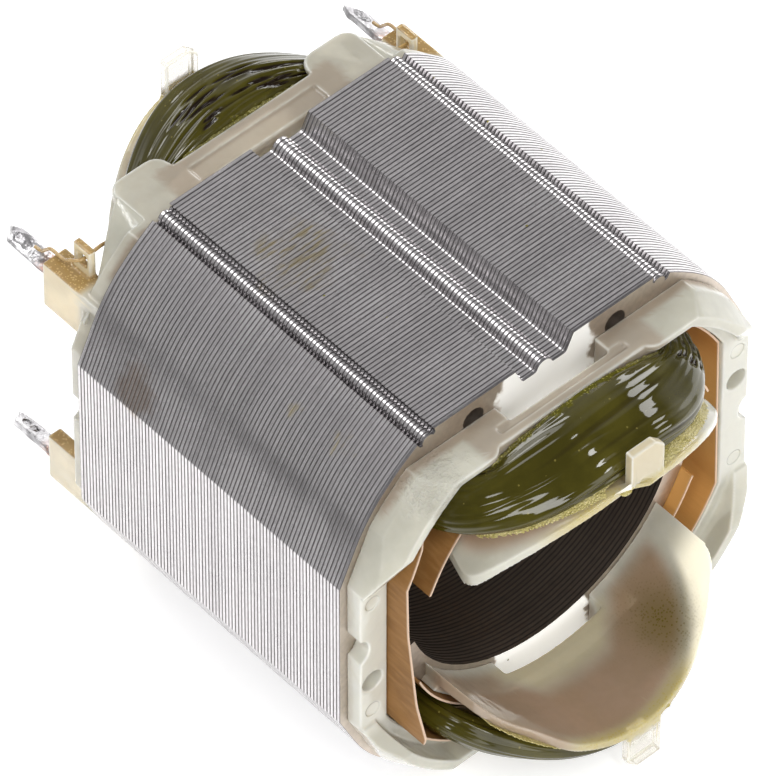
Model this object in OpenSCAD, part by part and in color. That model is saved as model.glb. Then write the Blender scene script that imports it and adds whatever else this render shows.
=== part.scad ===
// Wound stator of a small two-pole universal motor.
// The motor axis lies along Y, the front end faces -Y, and the poles are above and below the bore.
// Sections are drawn with X across and Y up and carried along the axis, then along_axis() lays them down.

/* [Lamination stack] */
// Number of punched sheets in the stack
sheet_count = 80; // [60:1:100]
// Thickness of one sheet
sheet_t = 0.5; // [0.4:0.05:0.65]
// Width of the line between two sheets
sheet_line_w = 0.12; // [0.06:0.01:0.2]
// Depth of the line between two sheets
sheet_line_depth = 0.12; // [0.06:0.01:0.25]
// Depth that the top and bottom flats cut into the round shoulders
top_cut = 4.4; // [4:0.1:4.8]
// Height of each side flat
flat_h = 21; // [18:0.5:23]
// Lean of the straight stretch between side flat and shoulder, in degrees
lean_angle = 23.7; // [21:0.1:26]

/* [Grooves and beads] */
// Distance from the start of a bead's notch to the edge between top flat and shoulder
bead_lead = 0.8; // [0.4:0.1:1.2]
// Width of the notch that holds a bead
bead_notch_w = 2.2; // [1.8:0.1:2.8]
// Depth of the notch that holds a bead
bead_notch_depth = 0.9; // [0.8:0.1:1.4]
// Radius of the half-round bead
bead_r = 0.85; // [0.5:0.05:0.9]
// Width of the locating groove at its mouth
groove_mouth_w = 7.8; // [7:0.1:10]
// Width of the locating groove at its floor
groove_floor_w = 5.8; // [4.5:0.1:6.8]
// Depth of the locating groove
groove_depth = 2.2; // [1.6:0.1:2.8]
// Radius of the half-round rib on the groove's floor
rib_r = 1.1; // [0.7:0.1:1.4]

/* [Bore and slots] */
// Diameter of the armature bore
bore_d = 36.6; // [35:0.1:39]
// Thickness of the pole shoes
shoe_t = 2.5; // [2.2:0.1:2.8]
// Depth of the winding slots behind the shoes
slot_depth = 4.6; // [4.2:0.1:5]
// Depth that the slots' straight back cuts off their round back
slot_back_cut = 2.5; // [2.2:0.1:2.8]
// Thickness of the steel behind the slots at the shoulders
yoke_t = 4.8; // [4.5:0.1:5.2]
// Thickness of the steel behind the slots at the side flats
side_yoke_t = 4.65; // [4.4:0.05:5]
// Angle from the level centre line to each pole tip, in degrees
tip_angle = 18; // [15:0.5:22]
// Angle from the upright centre line to the end of each slot, in degrees
neck_angle = 30; // [28:0.5:32]
// Diameter of the locating holes in the sheets
peg_hole_d = 2.8; // [2:0.1:3]
// Distance of the locating holes from the upright centre line
peg_hole_x = 9.6; // [8.5:0.1:11]
// Depth of the locating holes' centres below the top flat
peg_hole_drop = 2.7; // [2.4:0.1:3.2]

/* [End insulators] */
// Thickness of the ring plate
plate_t = 2.1; // [1.6:0.1:2.6]
// Distance of the plate's edge from the sheets' edge
plate_inset = 0.8; // [0.5:0.1:1.2]
// Distance of the ears' edge from the side flats
ear_inset = 0.95; // [0.6:0.05:1.3]
// Distance of the plate's straight edge below the top flat
plate_drop = 3.1; // [2.8:0.1:3.6]
// Half height of each flat ear
ear_reach = 10.4; // [9.8:0.1:11]
// Thickness of the horn walls at the straight edge
wall_t = 0.9; // [0.7:0.1:1]
// Distance of the horns' inner face from the shoulders
horn_depth = 3.4; // [3:0.1:3.8]
// How far the horns lean in towards their tips
horn_taper = 1.4; // [0.8:0.1:1.6]
// Height of the front horns above the steel
front_horn_t = 5; // [4.6:0.1:6]
// Height of the rear horns above the steel
rear_horn_t = 8; // [7.4:0.1:8.6]
// Width of the opening between the front horns
front_horn_gap = 19.2; // [18.4:0.1:21]
// Width of the opening between the rear horns
rear_horn_gap = 18.8; // [18.6:0.1:20]
// Width of each rear horn
rear_horn_w = 7.2; // [6:0.1:8]
// Radius of the horns' free corners
horn_corner_r = 1.8; // [1:0.1:2.4]
// Length over which the horns rise from the ears to their full height
horn_rise = 5; // [3:0.1:6]
// Height of the front pole pads above the steel
front_pad_t = 4.2; // [3.8:0.1:4.5]
// Height of the rear pole pads above the steel
rear_pad_t = 5.8; // [5.2:0.1:6]
// Width of the tunnel behind each pole pad
tunnel_w = 13.4; // [10:0.1:15]
// Width of the shallow panel on each pole pad
panel_w = 17.2; // [12:0.1:18]
// Depth of the shallow panel on each pole pad
panel_depth = 0.3; // [0.1:0.05:0.5]
// Diameter of the hole in each ear
ear_hole_d = 2.6; // [1.8:0.1:2.8]
// Diameter of the ejector marks on each ear
mark_d = 1.9; // [1.2:0.1:2.2]
// Radius of the round notch in each ear's edge
ear_notch_r = 1.9; // [1.2:0.1:2.2]

/* [Coil tongues] */
// Distance of the tongues' inner face from the bore's radius
tongue_gap = 0.6; // [0.4:0.05:0.8]
// Thickness of the tongues
tongue_t = 1.1; // [0.9:0.05:1.2]
// Reach of the tongues beyond the steel
tongue_reach = 15.7; // [15.2:0.1:17]
// Width of each tongue
tongue_w = 32; // [31:0.1:33]
// Radius of each tongue's long front edge
tongue_front_r = 21.7; // [21:0.1:24]
// Radius of each tongue's front corners
tongue_corner_r = 4; // [3:0.1:5]
// Width of the hook tab
tab_w = 4.5; // [3.5:0.1:5.5]
// Thickness of the hook tab
tab_t = 1.1; // [0.8:0.1:1.2]
// Distance of the hook tab's top below the top flat
tab_drop = 0.6; // [0.5:0.1:1.8]
// Size of the hook tab's cut corner
tab_cut = 1.3; // [0.6:0.1:2]

/* [Coils] */
// Gap between the coil heads' tips and the hook tabs
coil_tip_gap = 0.2; // [0.1:0.1:0.8]
// Angle from the upright centre line to the coil's outer edge, in degrees
coil_angle = 51; // [48:0.5:53]
// Distance of the coil heads' crown below the slots' round back
coil_crown_drop = 0.8; // [0.6:0.1:1.6]
// How much lower the coil head lies beside the horns
coil_fall = 1.4; // [1.35:0.05:1.6]
// Number of strand ridges over the coil's outer face
strand_count = 12; // [8:1:14]
// Depth of the hollows between strands
strand_depth = 0.28; // [0.1:0.02:0.4]

/* [Slot liners] */
// Thickness of the liner paper
liner_t = 0.3; // [0.2:0.05:0.4]
// Reach of the liners beyond the steel, before they slip
liner_reach = 3.2; // [2.4:0.1:3.6]
// How far the left liner has slipped forwards and the right one backwards
liner_slip = 1.8; // [0:0.1:1.8]
// Angle from the level centre line to the liners' free edges, in degrees
liner_angle = 21; // [19:0.5:26]

/* [Terminals] */
// Distance of the towers' inner face from the slots' straight back
tower_in = 1.4; // [1:0.1:1.8]
// Width of the towers
tower_w = 3.2; // [3:0.1:3.4]
// Height of each tower above its ear
tower_h = 6.4; // [5.8:0.1:6.6]
// Reach of the towers beyond the steel
tower_reach = 8.6; // [8:0.1:9.4]
// Distance of the wire eyelets' middle from the towers' ends
eyelet_back = 3.6; // [3.4:0.1:4]
// Thickness of the wire eyelets
eyelet_t = 0.9; // [0.7:0.1:1.1]
// Width of the webs beside the eyelets' windows
eyelet_web = 0.6; // [0.5:0.1:0.7]
// Length of the wire eyelets along the axis
eyelet_l = 2.6; // [2.4:0.1:3]
// Height of the wire eyelets above their towers
eyelet_h = 3.6; // [3.4:0.1:4]
// Depth of the tags' middle below the towers' tops
tag_drop = 2.2; // [2:0.1:2.6]
// Width of the terminal tags
tag_w = 2.2; // [1.8:0.1:2.3]
// Thickness of the terminal tags
tag_t = 0.8; // [0.5:0.1:1]
// Length of each tag that stands out of its tower
tag_out = 7.2; // [6:0.1:8]
// Length of each tag that sits in its tower
tag_in = 3.4; // [2.5:0.1:4]
// Lean of the tags about their own length, in degrees
tag_lean = 25; // [15:1:35]
// Diameter of the small holes in the tags
tag_hole_d = 0.9; // [0.6:0.1:1.1]
// Diameter of the lead wires
lead_d = 0.9; // [0.6:0.1:1]
// How far the lead wires bow out between their supports
lead_bow = 0.3; // [0.2:0.05:0.4]
// Length of each bend of the lead wires along the axis
lead_bend = 0.9; // [0.8:0.1:1.1]
// Length of the lead wires soldered along their tags
lead_land = 1; // [0.6:0.1:1.4]

/* [Fits] */
// Clearance between pieces that seat in each other
fit_gap = 0.05; // [0.03:0.01:0.08]

/* [Hidden] */
$fn = 96;

// Derived sizes of the sheets
stack_len = sheet_count * sheet_t;
half_len = stack_len / 2;
bore_r = bore_d / 2;
shoe_r = bore_r + shoe_t;
slot_r = shoe_r + slot_depth;
slot_x = slot_r - slot_back_cut;
core_r = slot_r + yoke_t;
core_w = 2 * (slot_x + side_yoke_t);
core_h = 2 * (core_r - top_cut);
slot_mid_r = (shoe_r + slot_r) / 2;
slot_end_r = slot_depth / 2;
slot_end_angle = 90 - neck_angle - asin(slot_end_r / slot_mid_r);
mouth_r = shoe_r + 0.6;
lean = tan(lean_angle);
round_sink = 0.1;
big = 2 * core_r;

// Derived sizes of the insulators
plate_z = core_h / 2 - plate_drop;
ear_x = core_w / 2 - ear_inset;
ear_mid_x = (ear_x + slot_x) / 2 + 0.2;
ear_mark_z = ear_reach - 2;
ear_hole_z = ear_mark_z - 4.5;
ear_notch_z = 1.6;
mark_depth = 0.15;
horn_in_r = core_r - horn_depth;
tongue_in_r = bore_r + tongue_gap;
tongue_out_r = tongue_in_r + tongue_t;
tongue_angle = asin(tongue_w / 2 / tongue_out_r);
tab_shift = -0.25;
tab_top = core_h / 2 - tab_drop;

// Derived sizes of the coils, with heights measured from the steel's end face
coil_gap = 2 * fit_gap;
coil_reach = tongue_reach - tab_t - coil_tip_gap;
coil_crown = slot_r - coil_crown_drop;
coil_root_gap = 0.3;
coil_inner_angle = neck_angle + 1.5;
coil_corner_r = 1.2;
coil_corner_angle = coil_corner_r / slot_mid_r * 180 / PI;
coil_corner_turn = 35;
leg_bottom_r = shoe_r + fit_gap + liner_t + coil_gap;
leg_top_r = slot_r - fit_gap - liner_t - coil_gap;
head_bottom_r = tongue_out_r + fit_gap;
head_start = liner_reach + liner_slip + 0.2;
head_full = head_start + 3;
liner_cut_x = slot_mid_r * sin(coil_inner_angle) + 2;
liner_cut_drop = 0.7;
head_steps = 20;
strand_steps = 3;
under_steps = 10;

// Derived sizes of the terminals, with heights measured from the steel's end face
tower_x = slot_x - tower_in;
tower_top = ear_reach + tower_h;
tag_x = tower_x + tower_w / 2;
tag_z = tower_top - tag_drop;
eyelet_mid = tower_reach - eyelet_back;
eyelet_window_h = eyelet_h - 2 * eyelet_t;
eyelet_window_l = eyelet_l - 2 * eyelet_web;
lead_sides = 8;

// Helpers
function polar(r, angle) = r * [cos(angle), sin(angle)];
function smooth(t) = let(c = min(max(t, 0), 1)) c * c * (3 - 2 * c);
function mix(a, b, t) = a + (b - a) * t;
function signed_power(v, p) = sign(v) * pow(abs(v), p);

module along_axis() {
    rotate([90, 0, 0]) children();
}

module at_front() {
    translate([0, 0, half_len]) children();
}

module at_rear() {
    mirror([0, 0, 1]) translate([0, 0, half_len]) children();
}

module turned_twice() {
    for (turn = [0, 180]) rotate(turn) children();
}

module four_corners() {
    for (mx = [0, 1], my = [0, 1]) corner(mx, my) children();
}

module corner(mx, my) {
    mirror([mx, 0, 0]) mirror([0, my, 0]) children();
}

// Sector about +X, wide enough for every section
module wedge(half_angle) {
    polygon([[0, 0], polar(big, -half_angle), [big, -big * sin(half_angle)],
        [big, big * sin(half_angle)], polar(big, half_angle)]);
}

// Outer form of the sheets without grooves: flats, leaning stretches and round shoulders
module core_outline(inset = 0) {
    lean_inset = inset * sqrt(1 + lean * lean);
    flat_x = core_w / 2 - inset;
    flat_z = flat_h / 2 - (lean_inset - inset) / lean;
    top_x = core_w / 2 - lean * (core_r - flat_h / 2) - lean_inset;
    intersection() {
        circle(core_r - inset);
        square([core_w - 2 * inset, core_h - 2 * inset], center = true);
        polygon([[flat_x, flat_z], [top_x, core_r], [-top_x, core_r], [-flat_x, flat_z],
            [-flat_x, -flat_z], [-top_x, -core_r], [top_x, -core_r], [flat_x, -flat_z]]);
    }
}

// Middle and tilt of the bead notch between the top flat and the shoulder
bead_start = [sqrt(core_r * core_r - core_h * core_h / 4) - bead_lead, core_h / 2];
bead_end_x = bead_start[0] + bead_notch_w;
bead_end = [bead_end_x, sqrt(core_r * core_r - bead_end_x * bead_end_x)];
bead_mid = (bead_start + bead_end) / 2;
bead_tilt = atan2(bead_end[1] - bead_start[1], bead_notch_w);

module at_beads() {
    turned_twice() for (side = [-1, 1]) {
        translate([side * bead_mid[0], bead_mid[1]]) rotate(side * bead_tilt) children();
    }
}

module bead_notch() {
    translate([-bead_notch_w / 2, -bead_notch_depth]) square([bead_notch_w, 2 * bead_notch_depth]);
}

module locating_groove() {
    polygon([[-groove_mouth_w / 2, core_h / 2 + 1], [-groove_mouth_w / 2, core_h / 2],
        [-groove_floor_w / 2, core_h / 2 - groove_depth], [groove_floor_w / 2, core_h / 2 - groove_depth],
        [groove_mouth_w / 2, core_h / 2], [groove_mouth_w / 2, core_h / 2 + 1]]);
}

// Winding slot on the right, without its mouth
module slot_area(inset = 0) {
    difference() {
        intersection() {
            circle(slot_r - inset);
            translate([0, -core_r]) square([slot_x - inset, 2 * core_r]);
            wedge(slot_end_angle);
        }
        circle(shoe_r + inset);
    }
    for (side = [-1, 1]) {
        translate(polar(slot_mid_r, side * slot_end_angle)) circle(slot_end_r - inset);
    }
}

module slot_mouth(half_angle) {
    intersection() {
        circle(mouth_r);
        wedge(half_angle);
    }
}

module core_section() {
    difference() {
        union() {
            difference() {
                core_outline();
                turned_twice() locating_groove();
                at_beads() bead_notch();
            }
            turned_twice() translate([0, core_h / 2 - groove_depth - round_sink]) circle(rib_r);
            at_beads() translate([0, -bead_notch_depth - round_sink]) circle(bead_r);
        }
        circle(bore_r);
        turned_twice() {
            slot_area();
            slot_mouth(tip_angle);
        }
        four_corners() translate([peg_hole_x, core_h / 2 - peg_hole_drop]) circle(peg_hole_d / 2);
    }
}

// Fine lines between the sheets, round the outside of the stack
module sheet_lines() {
    for (sheet = [1 : sheet_count - 1]) {
        translate([0, 0, sheet * sheet_t - half_len - sheet_line_w / 2]) linear_extrude(sheet_line_w)
            difference() {
                square([core_w + 2, core_h + 2], center = true);
                core_outline(sheet_line_depth);
            }
    }
}

module lamination_stack() {
    color("#8b8b8d") along_axis() difference() {
        linear_extrude(stack_len, center = true) core_section();
        sheet_lines();
    }
}

// Outline shared by the ring plate and the horns
module plate_outline() {
    intersection() {
        core_outline(plate_inset);
        square([2 * ear_x, 2 * plate_z], center = true);
    }
}

module plate_area() {
    difference() {
        plate_outline();
        circle(tongue_in_r);
        turned_twice() {
            slot_area(-fit_gap);
            slot_mouth(90 - tongue_angle);
            translate([ear_mid_x, ear_hole_z]) circle(ear_hole_d / 2);
            translate([ear_x + 0.7, -ear_notch_z]) circle(ear_notch_r);
        }
    }
}

// Wall that runs round the outside of the coil heads, seen along the axis
module horn_area() {
    difference() {
        plate_outline();
        intersection() {
            circle(horn_in_r);
            square([big, 2 * (plate_z - wall_t)], center = true);
        }
        square([big, 2 * ear_reach], center = true);
    }
}

// Horn seen from above: from x_start to x_end, with rounded free corners
module horn_plan(x_start, x_end, height) {
    r = horn_corner_r;
    translate([x_start, -1]) square([x_end - x_start, height + 1 - r]);
    translate([x_start + r, -1]) square([x_end - x_start - 2 * r, height + 1]);
    for (x = [x_start + r, x_end - r]) translate([x, height - r]) circle(r);
}

module upright_prism(length) {
    rotate([90, 0, 0]) linear_extrude(length, center = true) children();
}

// Horn seen from the side: it climbs from the ear to its full height
module horn_side(height) {
    step = plate_t + 0.4;
    polygon([[-core_r, 0], [core_r, 0], [core_r, height], [ear_reach + horn_rise, height], [ear_reach, step],
        [-ear_reach, step], [-ear_reach - horn_rise, height], [-core_r, height]]);
}

module horns(height, gap, width) {
    taper_r = core_r - plate_inset;
    intersection() {
        linear_extrude(height) horn_area();
        rotate_extrude() polygon([[0, 0], [taper_r, 0], [taper_r, plate_t],
            [taper_r - horn_taper, height], [0, height]]);
        for (mx = [0, 1]) mirror([mx, 0, 0]) upright_prism(big) horn_plan(gap / 2, gap / 2 + width, height);
        rotate(90) upright_prism(big) horn_side(height);
    }
}

module pole_pads(height) {
    linear_extrude(height) intersection() {
        plate_area();
        turned_twice() rotate(90) wedge(neck_angle - 0.2);
    }
}

// Tongue seen from above: straight sides, round corners and a long front arc
module tongue_plan() {
    arc_z = tongue_reach - tongue_front_r;
    side_x = tongue_w / 2;
    corner_x = side_x - tongue_corner_r;
    corner_z = arc_z + sqrt(pow(tongue_front_r - tongue_corner_r, 2) - corner_x * corner_x);
    corner_turn = atan2(corner_z - arc_z, corner_x);
    translate([-side_x, 0]) square([tongue_w, corner_z]);
    for (x = [-corner_x, corner_x]) translate([x, corner_z]) circle(tongue_corner_r);
    intersection() {
        translate([0, arc_z]) circle(tongue_front_r);
        translate([0, arc_z]) rotate(90) wedge(90 - corner_turn);
    }
}

module tongue() {
    intersection() {
        linear_extrude(tongue_reach) difference() {
            circle(tongue_out_r);
            circle(tongue_in_r);
        }
        translate([0, core_r / 2, 0]) upright_prism(core_r) tongue_plan();
    }
}

module hook_tab() {
    left = tab_shift - tab_w / 2;
    right = tab_shift + tab_w / 2;
    foot = (tongue_in_r + tongue_out_r) / 2 - 0.2;
    translate([0, 0, tongue_reach - tab_t]) linear_extrude(tab_t)
        polygon([[left, foot], [right, foot], [right, tab_top - tab_cut],
            [right - tab_cut, tab_top], [left, tab_top]]);
}

// Whole moulding on one end face, with its back at height 0
module end_moulding(pad_t, horn_t, horn_gap, horn_w, panel_l) {
    difference() {
        union() {
            linear_extrude(plate_t) plate_area();
            pole_pads(pad_t);
            horns(horn_t, horn_gap, horn_w);
            turned_twice() tongue();
            turned_twice() hook_tab();
        }
        turned_twice() {
            translate([-tunnel_w / 2, tongue_in_r - 3, -1]) cube([tunnel_w, core_h / 2, plate_t + 1]);
            translate([-panel_w / 2, plate_z - panel_depth, plate_t]) cube([panel_w, 1, panel_l]);
        }
        four_corners() translate([ear_mid_x, ear_mark_z, plate_t - mark_depth]) cylinder(h = 1, d = mark_d);
    }
}

module front_insulator() {
    front_horn_w = ear_x + horn_corner_r + 1 - front_horn_gap / 2;
    color("#e3e4d8") along_axis() at_front()
        end_moulding(front_pad_t, front_horn_t, front_horn_gap, front_horn_w, 1);
}

// Terminal tag as a flat strip with a pointed end and two small holes, lying along the axis
module tag_shape(gap = 0) {
    half_w = tag_w / 2 + gap;
    length = tag_in + tag_out;
    translate([tag_x, tag_z, tower_reach - tag_in - gap]) rotate(-tag_lean) rotate([90, 0, 0])
        linear_extrude(tag_t + 2 * gap, center = true) difference() {
            polygon([[-half_w, 0], [half_w, 0], [half_w, length - 1], [half_w - 0.5, length - 0.6],
                [half_w - 0.8, length - 0.8], [-half_w + 0.6, length], [-half_w, length - 1.4]]);
            for (hole = [1.8, 3.1]) translate([0, length - hole]) circle(tag_hole_d / 2);
        }
}

module tower() {
    difference() {
        union() {
            translate([tower_x, tower_top - tower_h, 0]) cube([tower_w, tower_h, tower_reach]);
            translate([tower_x, tower_top - 0.5, eyelet_mid - eyelet_l / 2])
                cube([eyelet_t, eyelet_h + 0.5, eyelet_l]);
        }
        translate([tower_x - 1, tower_top + eyelet_t, eyelet_mid - eyelet_window_l / 2])
            cube([eyelet_t + 2, eyelet_window_h, eyelet_window_l]);
        tag_pocket();
        linear_extrude(tower_reach + 1) slot_area(-fit_gap);
    }
}

// Pocket for the seated end of a tag, open at the tower's end
module tag_pocket() {
    translate([tag_x, tag_z, tower_reach - tag_in - fit_gap]) rotate(-tag_lean) rotate([90, 0, 0])
        linear_extrude(tag_t + 2 * fit_gap, center = true)
            translate([-tag_w / 2 - fit_gap, 0]) square([tag_w + 2 * fit_gap, tag_in + 1]);
}

module rear_insulator() {
    color("#e3e0cc") along_axis() at_rear() {
        end_moulding(rear_pad_t, rear_horn_t, rear_horn_gap, rear_horn_w, 2.2);
        four_corners() tower();
    }
}

// Radius of the coil's surface: under and over it in the slot, easing into the crowned head
function coil_radius(angle, height, level) =
    let(w = smooth((height - head_start) / (head_full - head_start)),
        crown = coil_crown - coil_fall * smooth((abs(angle) - 8) / 14),
        low = mix(leg_bottom_r, head_bottom_r, w),
        high = mix(leg_top_r, crown, w))
    (low + high) / 2 + (high - low) / 2 * level;

// Section of the coil: share of the way from its inner to its outer edge, level, and strand hollow
function coil_section_point(turn) =
    let(upper = turn <= 180,
        hollow = upper ? 1 - abs(sin(turn * strand_count)) : 0)
    [0.5 + 0.5 * signed_power(cos(turn), 0.8), signed_power(sin(turn), upper ? 0.7 : 0.5), hollow];

coil_section = [
    for (i = [0 : strand_steps * strand_count]) coil_section_point(180 * i / (strand_steps * strand_count)),
    for (i = [1 : under_steps - 1]) coil_section_point(180 + 180 * i / under_steps)];

// Edge of the coil as angle and height above the steel: turn runs from the right slot to the left one
function coil_outer(turn) = [coil_angle * cos(turn), coil_reach * sin(turn)];
function coil_inner(turn, root) =
    let(near = min(turn, 180 - turn),
        side = turn < 90 ? 1 : -1,
        bend = 90 * near / coil_corner_turn,
        straight = coil_inner_angle - coil_corner_angle)
    near < coil_corner_turn
        ? [side * (straight + coil_corner_angle * cos(bend)), root - coil_corner_r * (1 - sin(bend))]
        : [side * straight * (90 - near) / (90 - coil_corner_turn), root];

// One ring of points across the coil; end is 1 at the front and -1 at the rear
function coil_ring(turn, root, end) =
    let(inner = coil_inner(turn, root), outer = coil_outer(turn))
    [for (s = coil_section)
        let(at = mix(inner, outer, s[0]),
            r = coil_radius(at[0], at[1], s[1]) - strand_depth * s[2])
        [r * sin(at[0]), r * cos(at[0]), end * (half_len + at[1])]];

coil_rings = [
    for (i = [0 : head_steps]) coil_ring(180 * i / head_steps, front_pad_t + coil_root_gap, 1),
    for (i = [head_steps : -1 : 0]) coil_ring(180 * i / head_steps, rear_pad_t + coil_root_gap, -1)];

// Closed skin over rings of points; looped joins the last ring to the first, else the ends are capped
module skin(rings, looped) {
    n = len(rings);
    m = len(rings[0]);
    bands = looped ? n : n - 1;
    points = [for (ring = rings) each ring];
    sides = [for (i = [0 : bands - 1], k = [0 : m - 1])
        let(a = i * m, b = (i + 1) % n * m, k2 = (k + 1) % m)
        each [[a + k, b + k, b + k2], [a + k, b + k2, a + k2]]];
    caps = looped ? [] : [[for (k = [0 : m - 1]) k], [for (k = [m - 1 : -1 : 0]) (n - 1) * m + k]];
    polyhedron(points, concat(sides, caps));
}

module upper_coil() {
    color("#4d4c1a") along_axis() skin(coil_rings, true);
}

module lower_coil() {
    color("#4d4c1a") along_axis() rotate(180) skin(coil_rings, true);
}

// C-shaped paper on the right slot's walls, cut back in front where the coil crosses it beside each pole
module slot_liner(slip) {
    difference() {
        translate([0, 0, slip]) linear_extrude(stack_len + 2 * liner_reach, center = true) difference() {
            slot_area(fit_gap);
            slot_area(fit_gap + liner_t);
            slot_mouth(liner_angle);
        }
        translate([0, -core_r, half_len + front_pad_t - liner_cut_drop]) cube([liner_cut_x, 2 * core_r, core_r]);
    }
}

module left_slot_liner() {
    color("#b98a55") along_axis() rotate(180) slot_liner(liner_slip);
}

module right_slot_liner() {
    color("#b98a55") along_axis() slot_liner(-liner_slip);
}

// Tags and leads are drawn for the upper right corner of the rear end and mirrored to the others
module tag(mx, my) {
    color("#a2a2a6") along_axis() corner(mx, my) at_rear() tag_shape();
}

module upper_left_tag() { tag(1, 0); }
module upper_right_tag() { tag(0, 0); }
module lower_left_tag() { tag(1, 1); }
module lower_right_tag() { tag(0, 1); }

// Route of a lead: off the coil's shoulder, through the eyelet, over the tower and onto the tag
lead_r = lead_d / 2;
lead_start_r = leg_top_r + lead_r + 0.15;
lead_start_angle = neck_angle + 14;
window_z = tower_top + eyelet_t + eyelet_window_h / 2;
over_z = tower_top + lead_r + 2 * fit_gap;
tag_top_z = tag_z + (tag_t / 2 + lead_r + fit_gap) / cos(tag_lean);
lead_start = [lead_start_r * sin(lead_start_angle), lead_start_r * cos(lead_start_angle), eyelet_mid];
lead_route = [
    lead_start,
    [(lead_start[0] + tower_x) / 2, (lead_start[1] + window_z) / 2 + lead_bow, eyelet_mid],
    [tower_x - lead_bow, window_z, eyelet_mid],
    [tower_x + eyelet_t + lead_bow / 3, window_z, eyelet_mid],
    [tag_x, (window_z + over_z) / 2 + lead_bow, eyelet_mid + lead_bend],
    [tag_x, over_z + lead_bow / 3, eyelet_mid + 2.2 * lead_bend],
    [tag_x, over_z, tower_reach + lead_bow],
    [tag_x, mix(over_z, tag_top_z, 0.45), tower_reach + lead_bow + lead_bend],
    [tag_x, mix(over_z, tag_top_z, 0.9), tower_reach + lead_bow + 1.8 * lead_bend],
    [tag_x, tag_top_z, tower_reach + lead_bow + 1.8 * lead_bend + lead_land]];

function unit(v) = v / norm(v);
function route_direction(points, i) =
    unit(points[min(i + 1, len(points) - 1)] - points[max(i - 1, 0)]);

// Ring of points round a route point, square to the route
function lead_ring(points, i) =
    let(along = route_direction(points, i),
        across = unit(cross(along, [0.3, 0.9, 0.3])),
        up = cross(across, along))
    [for (k = [0 : lead_sides - 1])
        let(turn = 360 * k / lead_sides)
        points[i] + lead_r * (cos(turn) * across + sin(turn) * up)];

module lead(mx, my) {
    color("#8f5f2e") along_axis() corner(mx, my) at_rear()
        skin([for (i = [0 : len(lead_route) - 1]) lead_ring(lead_route, i)], false);
}

module upper_left_lead() { lead(1, 0); }
module upper_right_lead() { lead(0, 0); }
module lower_left_lead() { lead(1, 1); }
module lower_right_lead() { lead(0, 1); }

lamination_stack();
front_insulator();
rear_insulator();
upper_coil();
lower_coil();
left_slot_liner();
right_slot_liner();
upper_left_tag();
upper_right_tag();
lower_left_tag();
lower_right_tag();
upper_left_lead();
upper_right_lead();
lower_left_lead();
lower_right_lead();
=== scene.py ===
# %% [markdown]
# # A wound motor stator, dressed for its portrait
# The stator is the still half of a small two-pole motor: a pack of punched steel sheets, a nylon moulding
# on each end, two varnished coils, two slot papers and four soldered tags. The solids were packed before
# this script runs, and everything here is placed in their frame: the bore's axis runs along Y, the front
# end faces -Y, and Z points up through the upper pole. Loading that model first means no piece has to be
# fitted by eye.

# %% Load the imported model
import math

import bmesh
import bpy
import numpy as np
from mathutils import Matrix, Vector
from mathutils.geometry import tessellate_polygon


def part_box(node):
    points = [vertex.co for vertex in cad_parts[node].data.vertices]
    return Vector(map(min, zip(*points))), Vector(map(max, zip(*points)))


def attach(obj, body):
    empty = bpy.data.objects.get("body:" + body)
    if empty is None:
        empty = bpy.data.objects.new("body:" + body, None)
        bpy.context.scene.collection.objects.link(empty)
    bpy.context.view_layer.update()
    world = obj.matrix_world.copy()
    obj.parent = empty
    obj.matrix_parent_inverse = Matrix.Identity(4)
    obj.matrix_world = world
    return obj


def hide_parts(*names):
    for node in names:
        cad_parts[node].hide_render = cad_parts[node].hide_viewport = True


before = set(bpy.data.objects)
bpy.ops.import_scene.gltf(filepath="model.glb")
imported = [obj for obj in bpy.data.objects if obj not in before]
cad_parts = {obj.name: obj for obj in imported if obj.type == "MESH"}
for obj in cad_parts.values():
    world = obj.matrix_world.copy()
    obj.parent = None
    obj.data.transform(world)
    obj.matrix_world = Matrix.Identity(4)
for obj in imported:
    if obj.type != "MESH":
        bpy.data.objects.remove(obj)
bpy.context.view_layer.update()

scene = bpy.context.scene
scene.view_settings.view_transform = "Standard"
print("packed nodes:", ", ".join(sorted(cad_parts)))

# %% [markdown]
# ## Measures
# A stator is drawn in millimetres, so every shape below is worked out in them and turned into metres once,
# when its mesh is written. The pack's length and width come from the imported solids. The other sizes repeat
# the drawing of the sheets, because a finer surface has to lie exactly where the solid does.

# %% Sizes of the sheets, in millimetres
MM = 0.001
pack_low, pack_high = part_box("lamination_stack")
half_len = (pack_high.y - pack_low.y) / 2 / MM
half_w = pack_high.x / MM
half_h = pack_high.z / MM
sheet_t = 0.5
sheet_count = round(2 * half_len / sheet_t)
core_r = 30.2
bore_r = 18.3
shoe_r = 20.8
slot_r = 25.4
slot_x = 22.9
print(f"pack {2 * half_w:.1f} x {2 * half_h:.1f} x {2 * half_len:.1f} mm, {sheet_count} sheets")

# %% [markdown]
# ## Turning grids of points into pieces
# Nearly every piece is one grid of points: one direction runs round a section, the other along a path. The
# quads of such a grid follow from its row and column numbers alone, so they are worked out as whole arrays.
# One helper writes points and faces into a mesh, turns the faces outwards, and hands the piece to the frame.

# %% Helpers for meshes
def world_points(x, z, h):
    """World points from section coordinates: x across, z up, and h forward along the bore's axis (-Y)."""
    x, z, h = np.broadcast_arrays(x, z, h)
    return np.stack([x, -h, z], axis=-1).reshape(-1, 3)


def grid_quads(rows, cols, start=0, loop_rows=False, loop_cols=True):
    """Quads between neighbours of a grid of points, row after row; loop closes that direction on itself."""
    i = np.arange(rows if loop_rows else rows - 1)[:, None]
    j = np.arange(cols if loop_cols else cols - 1)[None, :]
    i_next = (i + 1) % rows
    j_next = (j + 1) % cols
    quads = np.stack([i * cols + j, i * cols + j_next, i_next * cols + j_next, i_next * cols + j], axis=-1)
    return quads.reshape(-1, 4) + start


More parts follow.
